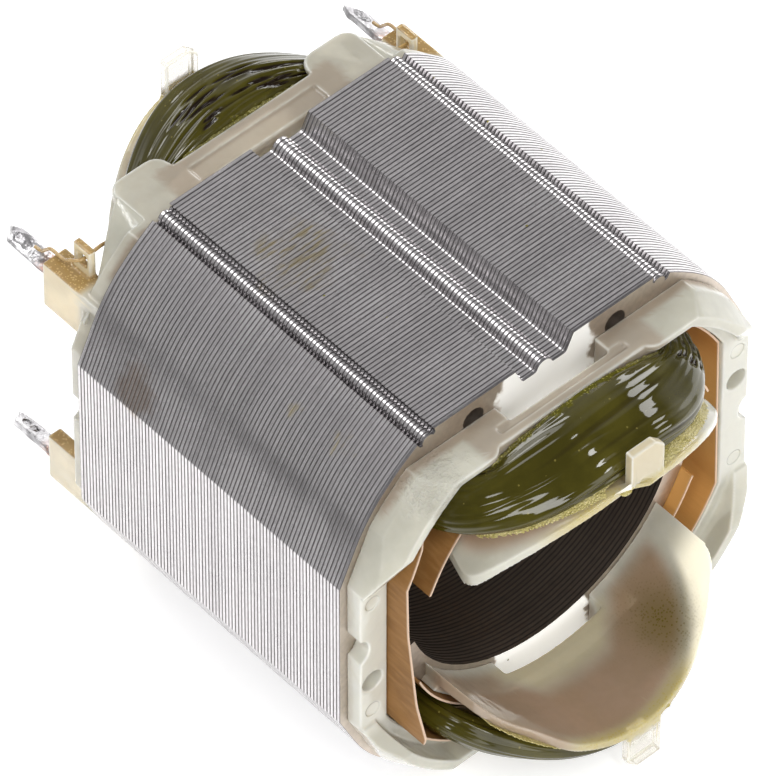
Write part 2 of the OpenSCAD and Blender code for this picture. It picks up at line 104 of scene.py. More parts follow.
def finish_piece(mesh, replaced, materials, sharp_angle=50):
    """Turns faces outwards, shades smooth up to an angle, and rides the piece on the frame's one body."""
    shell = bmesh.new()
    shell.from_mesh(mesh)
    bmesh.ops.recalc_face_normals(shell, faces=shell.faces)
    shell.to_mesh(mesh)
    shell.free()
    mesh.shade_smooth()
    mesh.set_sharp_from_angle(angle=math.radians(sharp_angle))
    for material in materials:
        mesh.materials.append(material)
    piece = bpy.data.objects.new(mesh.name, mesh)
    scene.collection.objects.link(piece)
    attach(piece, "root")
    if replaced:
        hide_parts(*replaced)
    mesh.calc_loop_triangles()
    print(f"{mesh.name}: {len(mesh.loop_triangles)} triangles")
    return piece


def add_values(mesh, **attributes):
    """Stores one value for each point of a mesh, under each label."""
    for label, values in attributes.items():
        layer = mesh.attributes.new(label, "FLOAT", "POINT")
        layer.data.foreach_set("value", np.ascontiguousarray(values, dtype=np.float32).ravel())


def mesh_from(name, points, faces, **attributes):
    """A mesh from points in millimetres and faces; each attribute is one value per point."""
    mesh = bpy.data.meshes.new(name)
    mesh.from_pydata((points * MM).tolist(), [], faces if isinstance(faces, list) else faces.tolist())
    add_values(mesh, **attributes)
    return mesh


def tube_faces(rows, cols):
    """Quads round a tube of rows of points, and one face over each of its two ends."""
    return grid_quads(rows, cols).tolist() + [list(range(cols)), list(range(cols * (rows - 1), cols * rows))]

# %% Helpers for smooth steps and noise
def ease(t):
    """Smooth step: 0 below 0, 1 above 1, and 3t^2 - 2t^3 between them."""
    t = np.clip(t, 0, 1)
    return t * t * (3 - 2 * t)


def value_noise(u, v, cells, seed):
    """Smooth random heights from -1 to 1: random values on a grid of cells, eased between its corners."""
    grid = np.random.default_rng(seed).uniform(-1, 1, cells)
    u, v = np.broadcast_arrays(u, v)
    iu = np.floor(u).astype(int)
    iv = np.floor(v).astype(int)
    fu = ease(u - iu)
    fv = ease(v - iv)
    low = grid[iu % cells[0], iv % cells[1]] * (1 - fu) + grid[(iu + 1) % cells[0], iv % cells[1]] * fu
    high = grid[iu % cells[0], (iv + 1) % cells[1]] * (1 - fu)
    high = high + grid[(iu + 1) % cells[0], (iv + 1) % cells[1]] * fu
    return low * (1 - fv) + high * fv

# %% [markdown]
# ## Camera
# The portrait is a close product shot with a long lens, so lines along the bore stay nearly parallel. The
# camera stands in front of the front end, to its left and about fifty degrees up. Its place is worked out
# from those two angles and a distance, and a small step sideways frames the stator as the photograph does.

# %% Camera
turn_left = math.radians(-41.856)
look_down = math.radians(49.549)
right = Vector((math.cos(turn_left), math.sin(turn_left), 0))
up = Vector((-math.sin(turn_left) * math.sin(look_down), math.cos(turn_left) * math.sin(look_down),
             math.cos(look_down)))
back = right.cross(up)
portrait_data = bpy.data.cameras.new("portrait")
portrait_data.lens = 542.25
portrait_data.clip_start = 0.05
portrait_data.clip_end = 30
portrait = bpy.data.objects.new("portrait", portrait_data)
step_right, step_up, stand_back = (-3.158, 1.830, 1197.265)
stand = (right * step_right + up * step_up + back * stand_back) * MM
portrait.matrix_world = Matrix.Translation(stand) @ Matrix((right, up, back)).transposed().to_4x4()
scene.collection.objects.link(portrait)
scene.camera = portrait
print("camera at", [round(value, 3) for value in portrait.location])

# %% [markdown]
# ## Shader helpers
# Materials are small graphs of nodes. A few helpers keep them readable: one adds a node and fills its inputs
# with values or links, others blend two colours by a mask, ease a value or take a vector apart. Effects that
# several materials share become node groups with named sockets, so that each material only sets their values.

# %% Helpers for nodes
def place(tree, kind, inputs=None, **settings):
    """Adds a node, applies its settings, and fills inputs, by name or number, with values or links."""
    node = tree.nodes.new(kind)
    for label, value in settings.items():
        setattr(node, label, value)
    for socket, value in (inputs or {}).items():
        if isinstance(value, bpy.types.NodeSocket):
            tree.links.new(value, node.inputs[socket])
        else:
            node.inputs[socket].default_value = value
    return node


def blend(tree, mask, first, second):
    """Colour that goes from the first to the second as the mask goes from 0 to 1."""
    return place(tree, "ShaderNodeMix", {0: mask, 6: first, 7: second}, data_type="RGBA").outputs[2]


def between(tree, value, low, high, to_low=0.0, to_high=1.0):
    """Value eased from to_low to to_high as the input goes from low to high."""
    node = place(tree, "ShaderNodeMapRange", {0: value, 1: low, 2: high, 3: to_low, 4: to_high},
                 interpolation_type="SMOOTHSTEP")
    return node.outputs[0]


def calc(tree, operation, first, second=0.0):
    """One step of arithmetic on values."""
    return place(tree, "ShaderNodeMath", {0: first, 1: second}, operation=operation).outputs[0]


def times(tree, first, second):
    """Product of two values."""
    return calc(tree, "MULTIPLY", first, second)


def object_spot(tree):
    """Place on the piece, in the frame's metres."""
    return tree.nodes.new("ShaderNodeTexCoord").outputs["Object"]


def axes_of(tree, vector):
    """The parts of a vector, by the names X, Y and Z."""
    return place(tree, "ShaderNodeSeparateXYZ", {0: vector}).outputs


def point_value(tree, label):
    """A value stored at the piece's points."""
    return place(tree, "ShaderNodeAttribute", attribute_name=label).outputs["Fac"]


def colour(red, green, blue):
    """A colour with full alpha, in linear values."""
    return (red, green, blue, 1.0)

# %% Helpers for groups and materials
def new_group(name, inputs, outputs):
    """An empty shader group with named float inputs and outputs, and its two end nodes."""
    tree = bpy.data.node_groups.new(name, "ShaderNodeTree")
    for label, value in inputs.items():
        tree.interface.new_socket(label, in_out="INPUT", socket_type="NodeSocketFloat").default_value = value
    for label in outputs:
        tree.interface.new_socket(label, in_out="OUTPUT", socket_type="NodeSocketFloat")
    return tree, tree.nodes.new("NodeGroupInput"), tree.nodes.new("NodeGroupOutput")


def use_group(tree, group, **values):
    """Places a group in a material with its own values."""
    node = tree.nodes.new("ShaderNodeGroup")
    node.node_tree = group
    for label, value in values.items():
        node.inputs[label.replace("_", " ")].default_value = value
    return node.outputs


def new_material(name, **values):
    """A material with a Principled shader; each value goes on the socket of that name."""
    material = bpy.data.materials.new(name)
    material.use_nodes = True
    tree = material.node_tree
    shader = tree.nodes["Principled BSDF"]
    for label, value in values.items():
        shader.inputs[label.replace("_", " ")].default_value = value
    return material, tree, shader


def connect(tree, shader, **links):
    """Links graph outputs to the shader's sockets by name."""
    for label, output in links.items():
        tree.links.new(output, shader.inputs[label.replace("_", " ")])


def bumped(tree, shader, height, depth):
    """Raises the surface by a height graph: depth is the height of one unit, in metres."""
    bump = place(tree, "ShaderNodeBump", {"Strength": 1.0, "Distance": depth, "Height": height})
    tree.links.new(bump.outputs[0], shader.inputs["Normal"])

# %% [markdown]
# ## Studio
# The stator lies on a white table under soft light, cut out against white. The floor is pale, glows a little
# like a light table, and takes the shadow. Steel and varnish mirror their surroundings, so what they see
# matters more than the lamps: a white table close by, which fades farther off except on the right, a grey
# wall behind, a pale horizon, and a dark room in front and overhead. That is what makes the pack's top grey,
# its left flat and right round white, and the coils deep olive. The big key box shows as the grey sheen on
# the coils' fronts, the small ones as white streaks. One large lamp would be simpler, but bare steel would
# then show a single hot patch.

# %% Floor
floor_size = 4.0
floor_z = pack_low.z - 0.0002
floor_mesh = bpy.data.meshes.new("floor")
corners = np.array([(-1, -1), (1, -1), (1, 1), (-1, 1)]) * floor_size
floor_mesh.from_pydata(np.column_stack([corners, np.full(4, floor_z)]).tolist(), [], [[0, 1, 2, 3]])
floor = bpy.data.objects.new("floor", floor_mesh)
scene.collection.objects.link(floor)

white_table, tree, shader = new_material("white_table", Roughness=1.0, Specular_IOR_Level=0.0,
                                         Emission_Strength=1.0)
rays = tree.nodes.new("ShaderNodeLightPath").outputs
spot = object_spot(tree)
away = place(tree, "ShaderNodeVectorMath", {0: spot}, operation="LENGTH").outputs["Value"]
rightward = axes_of(tree, spot)["X"]
far_off = times(tree, between(tree, away, 0.08, 0.2), between(tree, rightward, 0.02, 0.08, 1.0, 0.0))
faded = times(tree, rays["Is Glossy Ray"], far_off)
glow = blend(tree, rays["Is Glossy Ray"], colour(0.3, 0.3, 0.3), colour(0.65, 0.65, 0.65))
glow = blend(tree, rays["Is Camera Ray"], glow, colour(0.46, 0.46, 0.46))
connect(tree, shader, Base_Color=blend(tree, faded, colour(0.86, 0.86, 0.86), colour(0.24, 0.24, 0.24)),
        Emission_Color=blend(tree, faded, glow, colour(0.05, 0.05, 0.05)))
floor_mesh.materials.append(white_table)
print(f"floor at {floor_z:.4f} m")

# %% World
studio = bpy.data.worlds.new("studio")
studio.use_nodes = True
scene.world = studio
tree = studio.node_tree
sky = tree.nodes["Background"]
way = axes_of(tree, tree.nodes.new("ShaderNodeTexCoord").outputs["Generated"])
behind = between(tree, way["Y"], 0.18, 0.5, 0.13, 0.53)
horizon = times(tree, between(tree, way["Z"], 0.0, 0.34, 1.3, 0.0),
                between(tree, way["X"], -0.8, -0.3, 0.4, 1.0))
right_front = times(tree, between(tree, way["X"], 0.5, 0.9), between(tree, way["Y"], 0.15, 0.4, 0.5, 0.0))
horizon = times(tree, horizon, calc(tree, "SUBTRACT", 1.0, right_front))
mirror_light = calc(tree, "MAXIMUM", behind, horizon)
rays = tree.nodes.new("ShaderNodeLightPath").outputs
soft_light = blend(tree, rays["Is Glossy Ray"], colour(0.42, 0.42, 0.42), mirror_light)
white_seen = calc(tree, "MAXIMUM", rays["Is Camera Ray"], rays["Is Transmission Ray"])
tree.links.new(blend(tree, white_seen, soft_light, colour(1, 1, 1)), sky.inputs["Color"])
print("world set")

# %% Lamps
def soft_box(name, direction, distance, width, height, power):
    """A rectangular lamp that stands in a direction from the stator and faces it."""
    data = bpy.data.lights.new(name, "AREA")
    data.shape = "RECTANGLE"
    data.size = width
    data.size_y = height
    data.energy = power
    lamp = bpy.data.objects.new(name, data)
    away = Vector(direction).normalized()
    facing = away.to_track_quat("Z", "Y").to_matrix().to_4x4()
    lamp.matrix_world = Matrix.Translation(away * distance) @ facing
    scene.collection.objects.link(lamp)
    print(f"{name}: {power} W")


soft_box("key_box", (-0.3, -0.85, 0.44), 1.0, 0.7, 0.42, 2.2)
soft_box("low_box", (-0.25, -0.95, 0.13), 1.0, 1.0, 0.22, 1.6)
soft_box("sheen_box", (-0.02, -0.66, 0.75), 1.0, 0.4, 0.2, 0.4)
soft_box("strip_box", (-0.12, -0.55, 0.82), 0.9, 0.1, 0.42, 2.0)
soft_box("left_box", (-0.67, -0.36, 0.62), 1.0, 0.22, 0.2, 1.2)
soft_box("side_box", (1.0, -0.1, 0.5), 1.0, 0.28, 0.3, 1.8)
soft_box("far_box", (0.8, 0.48, 0.33), 1.0, 0.35, 0.28, 1.6)
soft_box("roof_box", (-0.19, 0.48, 0.86), 1.0, 0.55, 0.25, 1.5)
soft_box("back_box", (-0.05, 0.72, 0.66), 1.0, 0.6, 0.16, 2.4)

# %% [markdown]
# ## Shared finishes
# Three effects turn up on more than one material. Sheet bands mark the joint between sheets every half
# millimetre and give each sheet its own tone. Mottle is a slow cloudy change plus a fine grain. Specks are
# scattered dots of dust, or, packed close, the round bulge of resin grains. All of them read Object
# coordinates, which here are the frame's metres.

# %% Sheet bands
sheet_bands, ends_in, ends_out = new_group("sheet_bands", {"Pitch": sheet_t * MM}, ["Joint", "Tone"])
along = axes_of(sheet_bands, object_spot(sheet_bands))["Y"]
sheet_number = calc(sheet_bands, "DIVIDE", along, ends_in.outputs["Pitch"])
off_middle = calc(sheet_bands, "ABSOLUTE", calc(sheet_bands, "SUBTRACT",
                                               calc(sheet_bands, "FRACT", sheet_number), 0.5))
sheet_bands.links.new(between(sheet_bands, off_middle, 0.27, 0.36), ends_out.inputs["Joint"])
sheet_tone = place(sheet_bands, "ShaderNodeTexWhiteNoise", {"W": calc(sheet_bands, "FLOOR", sheet_number)},
                   noise_dimensions="1D")
sheet_bands.links.new(sheet_tone.outputs["Value"], ends_out.inputs["Tone"])

# %% Mottle
mottle, ends_in, ends_out = new_group(
    "mottle", {"Cloud Scale": 120.0, "Grain Scale": 2500.0}, ["Cloud", "Grain"])
spot = object_spot(mottle)
cloud = place(mottle, "ShaderNodeTexNoise", {"Vector": spot, "Scale": ends_in.outputs["Cloud Scale"],
                                             "Detail": 4.0, "Roughness": 0.55})
grain = place(mottle, "ShaderNodeTexNoise", {"Vector": spot, "Scale": ends_in.outputs["Grain Scale"],
                                             "Detail": 2.0, "Roughness": 0.6})
mottle.links.new(between(mottle, cloud.outputs[0], 0.32, 0.68), ends_out.inputs["Cloud"])
mottle.links.new(between(mottle, grain.outputs[0], 0.3, 0.7), ends_out.inputs["Grain"])

# %% Specks
specks, ends_in, ends_out = new_group(
    "specks", {"Scale": 600.0, "Size": 0.16, "Share": 0.2}, ["Dots", "Bulge"])
spot = object_spot(specks)
cells = place(specks, "ShaderNodeTexVoronoi", {"Vector": spot, "Scale": ends_in.outputs["Scale"]})
inside = calc(specks, "LESS_THAN", cells.outputs["Distance"], ends_in.outputs["Size"])
pick = axes_of(specks, cells.outputs["Color"])["X"]
chosen = calc(specks, "LESS_THAN", pick, ends_in.outputs["Share"])
specks.links.new(times(specks, inside, chosen), ends_out.inputs["Dots"])
specks.links.new(between(specks, cells.outputs["Distance"], 0.0, 0.7, 1.0, 0.0), ends_out.inputs["Bulge"])
print("shared groups: sheet_bands, mottle, specks")

# %% [markdown]
# ## The steel pack
# Punched sheets never stack quite flush: each edge is a little rounded and stands a few hundredths in or
# out, which is why a pack looks combed. Image or bump lines could fake that, but the rib and the beads owe
# their spring-like glitter to real rounded edges. So the sheets' outline is carried along the bore with
# three rows of points for each sheet: its joint and the two edges of its flat crest.

# %% Outline of a sheet
groove_depth = 2.2
bead_notch_depth = 0.9
rib_r = 1.1
bead_r = 0.85
lean = math.tan(math.radians(23.7))
flat_z = 10.5


def line(start, end, count):
    """Evenly spaced points from start up to, but without, the end."""
    steps = np.arange(count)[:, None] / count
    return np.array(start) + (np.array(end) - np.array(start)) * steps


def arc(centre, radius, first, last, count, closed=False):
    """Points on a circle's arc between two angles in degrees, without the last one unless closed."""
    angles = np.radians(np.linspace(first, last, count + 1))
    points = np.array(centre) + radius * np.column_stack([np.cos(angles), np.sin(angles)])
    return points if closed else points[:-1]


def polar(radius, degrees):
    """Point of the section at a radius and an angle from +X."""
    return np.array([radius * math.cos(math.radians(degrees)), radius * math.sin(math.radians(degrees))])


def corner_line(start, end, count, near=0.12):
    """A line with one more point close to each end, which keeps shading at the corners narrow."""
    start = np.array(start, dtype=float)
    end = np.array(end, dtype=float)
    step = (end - start) / np.linalg.norm(end - start) * near
    return np.concatenate([[start], line(start + step, end - step, count), [end - step]])


def rounded_corner(before, corner, after, reach, count):
    """A corner eased from reach before it to reach after it, on the curve pulled by the corner's point."""
    before, corner, after = (np.array(point, dtype=float) for point in (before, corner, after))
    start = corner + (before - corner) / np.linalg.norm(before - corner) * reach
    end = corner + (after - corner) / np.linalg.norm(after - corner) * reach
    t = np.linspace(0, 1, count + 1)[:, None]
    return (1 - t) ** 2 * start + 2 * t * (1 - t) * corner + t ** 2 * end

# %% Points of the outline
rib_centre = (0, half_h - groove_depth - 0.1)
groove_z = half_h - groove_depth
bead_start = np.array([math.sqrt(core_r ** 2 - half_h ** 2) - 0.8, half_h])
bead_end_x = bead_start[0] + 2.2
bead_end = np.array([bead_end_x, math.sqrt(core_r ** 2 - bead_end_x ** 2)])
chord = (bead_end - bead_start) / np.linalg.norm(bead_end - bead_start)
outwards = np.array([-chord[1], chord[0]])
bead_middle = (bead_start + bead_end) / 2
bead_tilt = math.degrees(math.atan2(chord[1], chord[0]))
bead_centre = bead_middle - outwards * (bead_notch_depth + 0.1)
notch_left = bead_middle - chord * 1.08 - outwards * (bead_notch_depth - 0.25)
notch_right = bead_middle + chord * 1.05 - outwards * (bead_notch_depth - 0.2)
bead_arc = arc(bead_centre, bead_r, 166 + bead_tilt, 8 + bead_tilt, 10, closed=True)
lean_a = 1 + lean ** 2
lean_b = half_w + lean * flat_z
shoulder_z = (lean * lean_b + math.sqrt((lean * lean_b) ** 2 - lean_a * (lean_b ** 2 - core_r ** 2))) / lean_a
shoulder_x = lean_b - lean * shoulder_z
shoulder = np.array([shoulder_x, shoulder_z])
shoulder_angle = math.degrees(math.atan2(shoulder_z, shoulder_x))
bead_angle = math.degrees(math.atan2(bead_end[1], bead_end[0]))
rib_foot = (1.0955, groove_z)
groove_foot = (2.9, groove_z)
groove_edge = (3.9, half_h)
quarter = np.concatenate([
    arc(rib_centre, rib_r, 90, 24, 7),
    rounded_corner(polar(rib_r, 24) + rib_centre, rib_foot, groove_foot, 0.3, 4),
    line((1.6, groove_z), (2.5, groove_z), 2),
    rounded_corner(rib_foot, groove_foot, groove_edge, 0.3, 4),
    corner_line(groove_edge, bead_start, 2),
    [bead_start],
    [notch_left],
    bead_arc,
    [notch_right, bead_end],
    arc((0, 0), core_r, bead_angle - 1, shoulder_angle + 5.8, 9),
    rounded_corner(polar(core_r, shoulder_angle + 5.7), shoulder, (half_w, flat_z), 3.0, 6),
    corner_line(shoulder + (np.array([half_w, flat_z]) - shoulder) * 0.55, (half_w, flat_z), 2),
    corner_line((half_w, flat_z), (half_w, 0), 1)[:-1],
    [(half_w, 0)]])
outline = np.concatenate([
    quarter,
    quarter[-2::-1] * (1, -1),
    quarter[1:] * (-1, -1),
    quarter[-2:0:-1] * (-1, 1)])
print(f"sheet outline: {len(outline)} points, shoulder at {shoulder_angle:.1f} degrees")

# %% Bore and slots of a sheet
slot_mid_r = (shoe_r + slot_r) / 2
slot_end_r = (slot_r - shoe_r) / 2
slot_end_angle = 54.3
tip_angle = 18
back_angle = math.degrees(math.acos(slot_x / slot_r))
slot_quarter = np.concatenate([
    line(polar(bore_r, tip_angle), polar(shoe_r, tip_angle), 2),
    arc((0, 0), shoe_r, tip_angle, slot_end_angle, 8),
    arc(polar(slot_mid_r, slot_end_angle), slot_end_r, slot_end_angle + 180, slot_end_angle, 8),
    arc((0, 0), slot_r, slot_end_angle, back_angle, 5),
    line(polar(slot_r, back_angle), (slot_x, 0), 2),
    [(slot_x, 0)]])
right_slot = np.concatenate([slot_quarter, slot_quarter[-2::-1] * (1, -1)])
hollow_outline = np.concatenate([
    right_slot,
    arc((0, 0), bore_r, -tip_angle, tip_angle - 180, 24)[1:],
    -right_slot,
    arc((0, 0), bore_r, 180 - tip_angle, tip_angle, 24)[1:]])
peg_r = 1.4
peg_round = arc((0, 0), peg_r, 0, 360, 14)
peg_centres = np.array([(9.6, 23.1), (-9.6, 23.1), (-9.6, -23.1), (9.6, -23.1)])
peg_count = len(peg_centres)
print(f"bore and slots: {len(hollow_outline)} points")

# %% Carry the outlines along the pack
def outline_normals(points, outward):
    """Directions at a closed outline's points: a move of one step there moves both their sides by one."""
    ahead = np.roll(points, -1, axis=0) - points
    ahead = outward * ahead / np.linalg.norm(ahead, axis=1, keepdims=True)
    after = np.column_stack([-ahead[:, 1], ahead[:, 0]])
    before = np.roll(after, 1, axis=0)
    return (before + after) / np.maximum(1 + np.sum(before * after, axis=1, keepdims=True), 0.6)


def carried(points, normals, heights, insets, shifts):
    """Rows of an outline along the bore: row i lies at heights[i], drawn in by insets[i] and shifted."""
    rows = points[None] - normals[None] * insets[:, None, None] + shifts[:, None, :]
    return world_points(rows[..., 0], rows[..., 1], heights[:, None])


rng = np.random.default_rng(7)
sheet_low = -half_len + sheet_t * np.arange(sheet_count)
stand_in = rng.uniform(0.0, 0.014, sheet_count)
edge_rows = np.concatenate([
    np.column_stack([sheet_low + part * sheet_t, stand_in + inset, np.arange(sheet_count)])
    for part, inset in ((0.0, 0.11), (0.18, 0.0), (0.82, 0.0))] + [[(half_len, 0.05, sheet_count - 1)]])
edge_rows = edge_rows[np.argsort(edge_rows[:, 0], kind="stable")]
edge_rows[0, 1] = 0.05
sheet_shift = np.append(rng.uniform(-0.006, 0.006, (sheet_count - 1, 2)), [[0, 0]], axis=0)
row_shift = sheet_shift[edge_rows[:, 2].astype(int)]
outside = carried(outline, outline_normals(outline, 1), edge_rows[:, 0], edge_rows[:, 1] + 0.012, row_shift)

bore_rows = np.concatenate([
    np.column_stack([sheet_low + 0.02, np.full(sheet_count, -0.05)]),
    np.column_stack([sheet_low + 0.3, rng.uniform(-0.012, 0.0, sheet_count)]),
    [(half_len, -0.01)]])
bore_rows = bore_rows[np.argsort(bore_rows[:, 0], kind="stable")]
bore_rows[0] = (-half_len, -0.01)
hollow = carried(hollow_outline, outline_normals(hollow_outline, 1), bore_rows[:, 0], bore_rows[:, 1],
                 np.zeros((len(bore_rows), 2)))
pegs = np.concatenate([world_points(centre[0] + peg_round[:, 0], centre[1] + peg_round[:, 1],
                                    np.array([[-half_len], [half_len]])) for centre in peg_centres])
print(f"outside {len(edge_rows)} rows, bore {len(bore_rows)} rows")

# %% [markdown]
# ## Finishes of the steel
# The cut edges outside are bare and half shiny, with dark joints, a tone for each sheet, a few yellow specks,
# a stain and two dried drops of varnish, a touch of rust, and painted shade in the notches beside the beads,
# which also dulls their glints there. The bore is darker and browner, because varnish was wiped over it. The
# end faces are dull rolled steel, whiter inside the tunnels under the pads, where they were kept clean, and
# the lower tunnels get a faint painted glow for light that comes through the nylon. One function builds all
# three, so that they stay one family.

# %% Steel materials
def steel_finish(name, light, dark, joint, roughness, joint_depth):
    """Bare steel: dark to light by sheet and by streaks along it, with the joint colour between sheets."""
    material, tree, shader = new_material(name, Metallic=1.0)
    bands = use_group(tree, sheet_bands)
    cloudy = use_group(tree, mottle, Cloud_Scale=160.0, Grain_Scale=3800.0)
    drawn_out = place(tree, "ShaderNodeMapping", {"Vector": object_spot(tree), "Scale": (1.0, 3.0, 1.0)})
    streak = place(tree, "ShaderNodeTexNoise", {"Vector": drawn_out.outputs[0], "Scale": 1500.0,
                                                "Detail": 3.0})
    tone = calc(tree, "ADD", times(tree, bands["Tone"], 0.45),
                between(tree, streak.outputs[0], 0.25, 0.75, 0.0, 0.55))
    face = blend(tree, tone, colour(*dark), colour(*light))
    base = blend(tree, times(tree, bands["Joint"], joint_depth), face, colour(*joint))
    rough = calc(tree, "ADD", between(tree, cloudy["Cloud"], 0.0, 1.0, roughness - 0.04, roughness + 0.06),
                 times(tree, bands["Joint"], 0.35))
    connect(tree, shader, Base_Color=base, Roughness=rough)
    return material, tree, shader, base

# %% Steel of the sheet edges
edge_steel, tree, shader, base = steel_finish(
    "sheet_edge_steel", (0.7, 0.677, 0.688), (0.49, 0.472, 0.48), (0.16, 0.148, 0.15), 0.22, 0.9)
dust = use_group(tree, specks, Scale=700.0, Size=0.1, Share=0.02)
base = blend(tree, dust["Dots"], base, colour(0.3, 0.26, 0.05))
spot = object_spot(tree)


def near_spot(tree, spot, centre, reach, ragged):
    """Mask that is 1 at a place and fades to 0 at its reach, with a ragged edge from a noise."""
    away = place(tree, "ShaderNodeVectorMath", {0: spot, 1: Vector(centre) * MM}, operation="DISTANCE")
    noise = place(tree, "ShaderNodeTexNoise", {"Vector": spot, "Scale": ragged, "Detail": 5.0})
    rough_away = calc(tree, "ADD", away.outputs["Value"],
                      times(tree, calc(tree, "SUBTRACT", noise.outputs[0], 0.5), 1.6 * reach * MM))
    return between(tree, rough_away, 0.35 * reach * MM, reach * MM, 1.0, 0.0)


varnish_stain = near_spot(tree, spot, (-9.5, 6.0, half_h), 6.5, 320.0)
lengthwise = place(tree, "ShaderNodeMapping", {"Vector": spot, "Scale": (0.35, 1.6, 0.35)})
dashes = place(tree, "ShaderNodeTexNoise", {"Vector": lengthwise.outputs[0], "Scale": 1300.0, "Detail": 2.0})
stained = times(tree, varnish_stain, between(tree, dashes.outputs[0], 0.48, 0.66, 0.1, 0.7))
base = blend(tree, stained, base, colour(0.4, 0.33, 0.17))
for centre, reach in (((-20.9, -12.9, 21.8), 1.7), ((-21.3, -6.3, 21.4), 1.2)):
    dried_drop = near_spot(tree, spot, centre, reach, 700.0)
    streaked = times(tree, dried_drop, between(tree, dashes.outputs[0], 0.45, 0.6, 0.05, 0.6))
    base = blend(tree, streaked, base, colour(0.5, 0.43, 0.27))
rust_stain = near_spot(tree, spot, (-26.5, 12.0, 12.5), 3.6, 500.0)
base = blend(tree, times(tree, rust_stain, 0.45), base, colour(0.2, 0.13, 0.08))
# Painted shade in the notches beside the beads: their walls go dark, which also dulls glints there.
base = blend(tree, times(tree, point_value(tree, "crevice"), 0.85), base, colour(0.07, 0.066, 0.066))
connect(tree, shader, Base_Color=base)

# %% Steel of the bore and the end faces
bore_steel, tree, shader, base = steel_finish(
    "bore_steel", (0.112, 0.09, 0.07), (0.07, 0.054, 0.042), (0.016, 0.011, 0.009), 0.36, 0.9)
shader.inputs["Metallic"].default_value = 0.45

face_steel, tree, shader, base = steel_finish(
    "sheet_face_steel", (0.66, 0.58, 0.5), (0.5, 0.44, 0.38), (0.5, 0.44, 0.38), 0.42, 0.0)
where = axes_of(tree, object_spot(tree))
worn = use_group(tree, mottle, Cloud_Scale=420.0, Grain_Scale=2600.0)
ragged_x = calc(tree, "ADD", calc(tree, "ABSOLUTE", where["X"]), times(tree, worn["Cloud"], 0.0016))
in_tunnel = between(tree, ragged_x, 6.6 * MM, 7.6 * MM, 1.0, 0.0)
pits = use_group(tree, specks, Scale=900.0, Size=0.16, Share=0.06)
white = blend(tree, pits["Dots"], colour(0.93, 0.92, 0.88), colour(0.3, 0.28, 0.25))
connect(tree, shader, Base_Color=blend(tree, in_tunnel, base, white),
        Metallic=between(tree, in_tunnel, 0.0, 1.0, 1.0, 0.0),
        Roughness=between(tree, in_tunnel, 0.0, 1.0, 0.42, 0.6))
# Painted light: the lower tunnels glow faintly, standing in for light that comes through the nylon.
tunnel_painted_glow = times(tree, in_tunnel, between(tree, where["Z"], -0.5 * MM, 0.5 * MM, 0.28, 0.0))
connect(tree, shader, Emission_Color=blend(tree, tunnel_painted_glow, colour(0, 0, 0), white))
shader.inputs["Emission Strength"].default_value = 1.0
print("steel materials made")

# %% Steel pack
hollow_start = len(outside)
peg_start = hollow_start + len(hollow)
pack_points = np.concatenate([outside, hollow, pegs])
side_quads = grid_quads(len(edge_rows), len(outline))
hollow_quads = grid_quads(len(bore_rows), len(hollow_outline), hollow_start)
peg_quads = [grid_quads(2, len(peg_round), peg_start + 2 * len(peg_round) * peg) for peg in range(peg_count)]


def end_face(row_outside, row_hollow, row_peg):
    """Triangles of an end face: the area between the outline and the bore, less the four peg holes."""
    loops = [row_outside * len(outline) + np.arange(len(outline)),
             hollow_start + row_hollow * len(hollow_outline) + np.arange(len(hollow_outline))]
    loops += [peg_start + (2 * peg + row_peg) * len(peg_round) + np.arange(len(peg_round))
              for peg in range(peg_count)]
    flat_loops = [[Vector((pack_points[i][0], pack_points[i][2], 0)) for i in loop] for loop in loops]
    numbers = np.concatenate(loops)
    return numbers[np.array(tessellate_polygon(flat_loops))]


rear_face = end_face(0, 0, 0)
front_face = end_face(len(edge_rows) - 1, len(bore_rows) - 1, 1)
wall_quads = np.concatenate([side_quads, hollow_quads] + peg_quads)
pack_faces = wall_quads.tolist() + rear_face.tolist() + front_face.tolist()
# How much painted shade each notch point gets.
notch_painted_shade = ((bead_start, 0.22), (notch_left, 0.36), (bead_arc[0], 0.2), (bead_arc[-1], 0.14),
               (notch_right, 0.25))
in_notch = np.max([share * (np.hypot(np.abs(outline[:, 0]) - spot[0], np.abs(outline[:, 1]) - spot[1]) < 0.05)
                   for spot, share in notch_painted_shade], axis=0)
crevice = np.concatenate([np.tile(in_notch, len(edge_rows)), np.zeros(len(hollow) + len(pegs))])
pack_mesh = mesh_from("steel_pack", pack_points, pack_faces, crevice=crevice)
finish_counts = [len(side_quads), len(hollow_quads),
                 peg_count * len(peg_round) + len(rear_face) + len(front_face)]
pack_mesh.polygons.foreach_set("material_index", np.repeat([0, 1, 2], finish_counts).astype(np.int32))
finish_piece(pack_mesh, ["lamination_stack"], [edge_steel, bore_steel, face_steel], 42)

# %% [markdown]
# ## Nylon mouldings
# The two end insulators are injection moulded in milky nylon: every edge is rounded, the walls let light
# through, and they look greyer where steel or a coil stands close behind. Their solids already have the
# right form with sharp edges. A voxel remesh of a merged copy followed by smoothing rounds all edges at once,
# which no bevel would manage round so many meeting walls. Values worked out at each point then say how much
# coil stands behind it, how much resin soaked it, and how yellow a tower is.

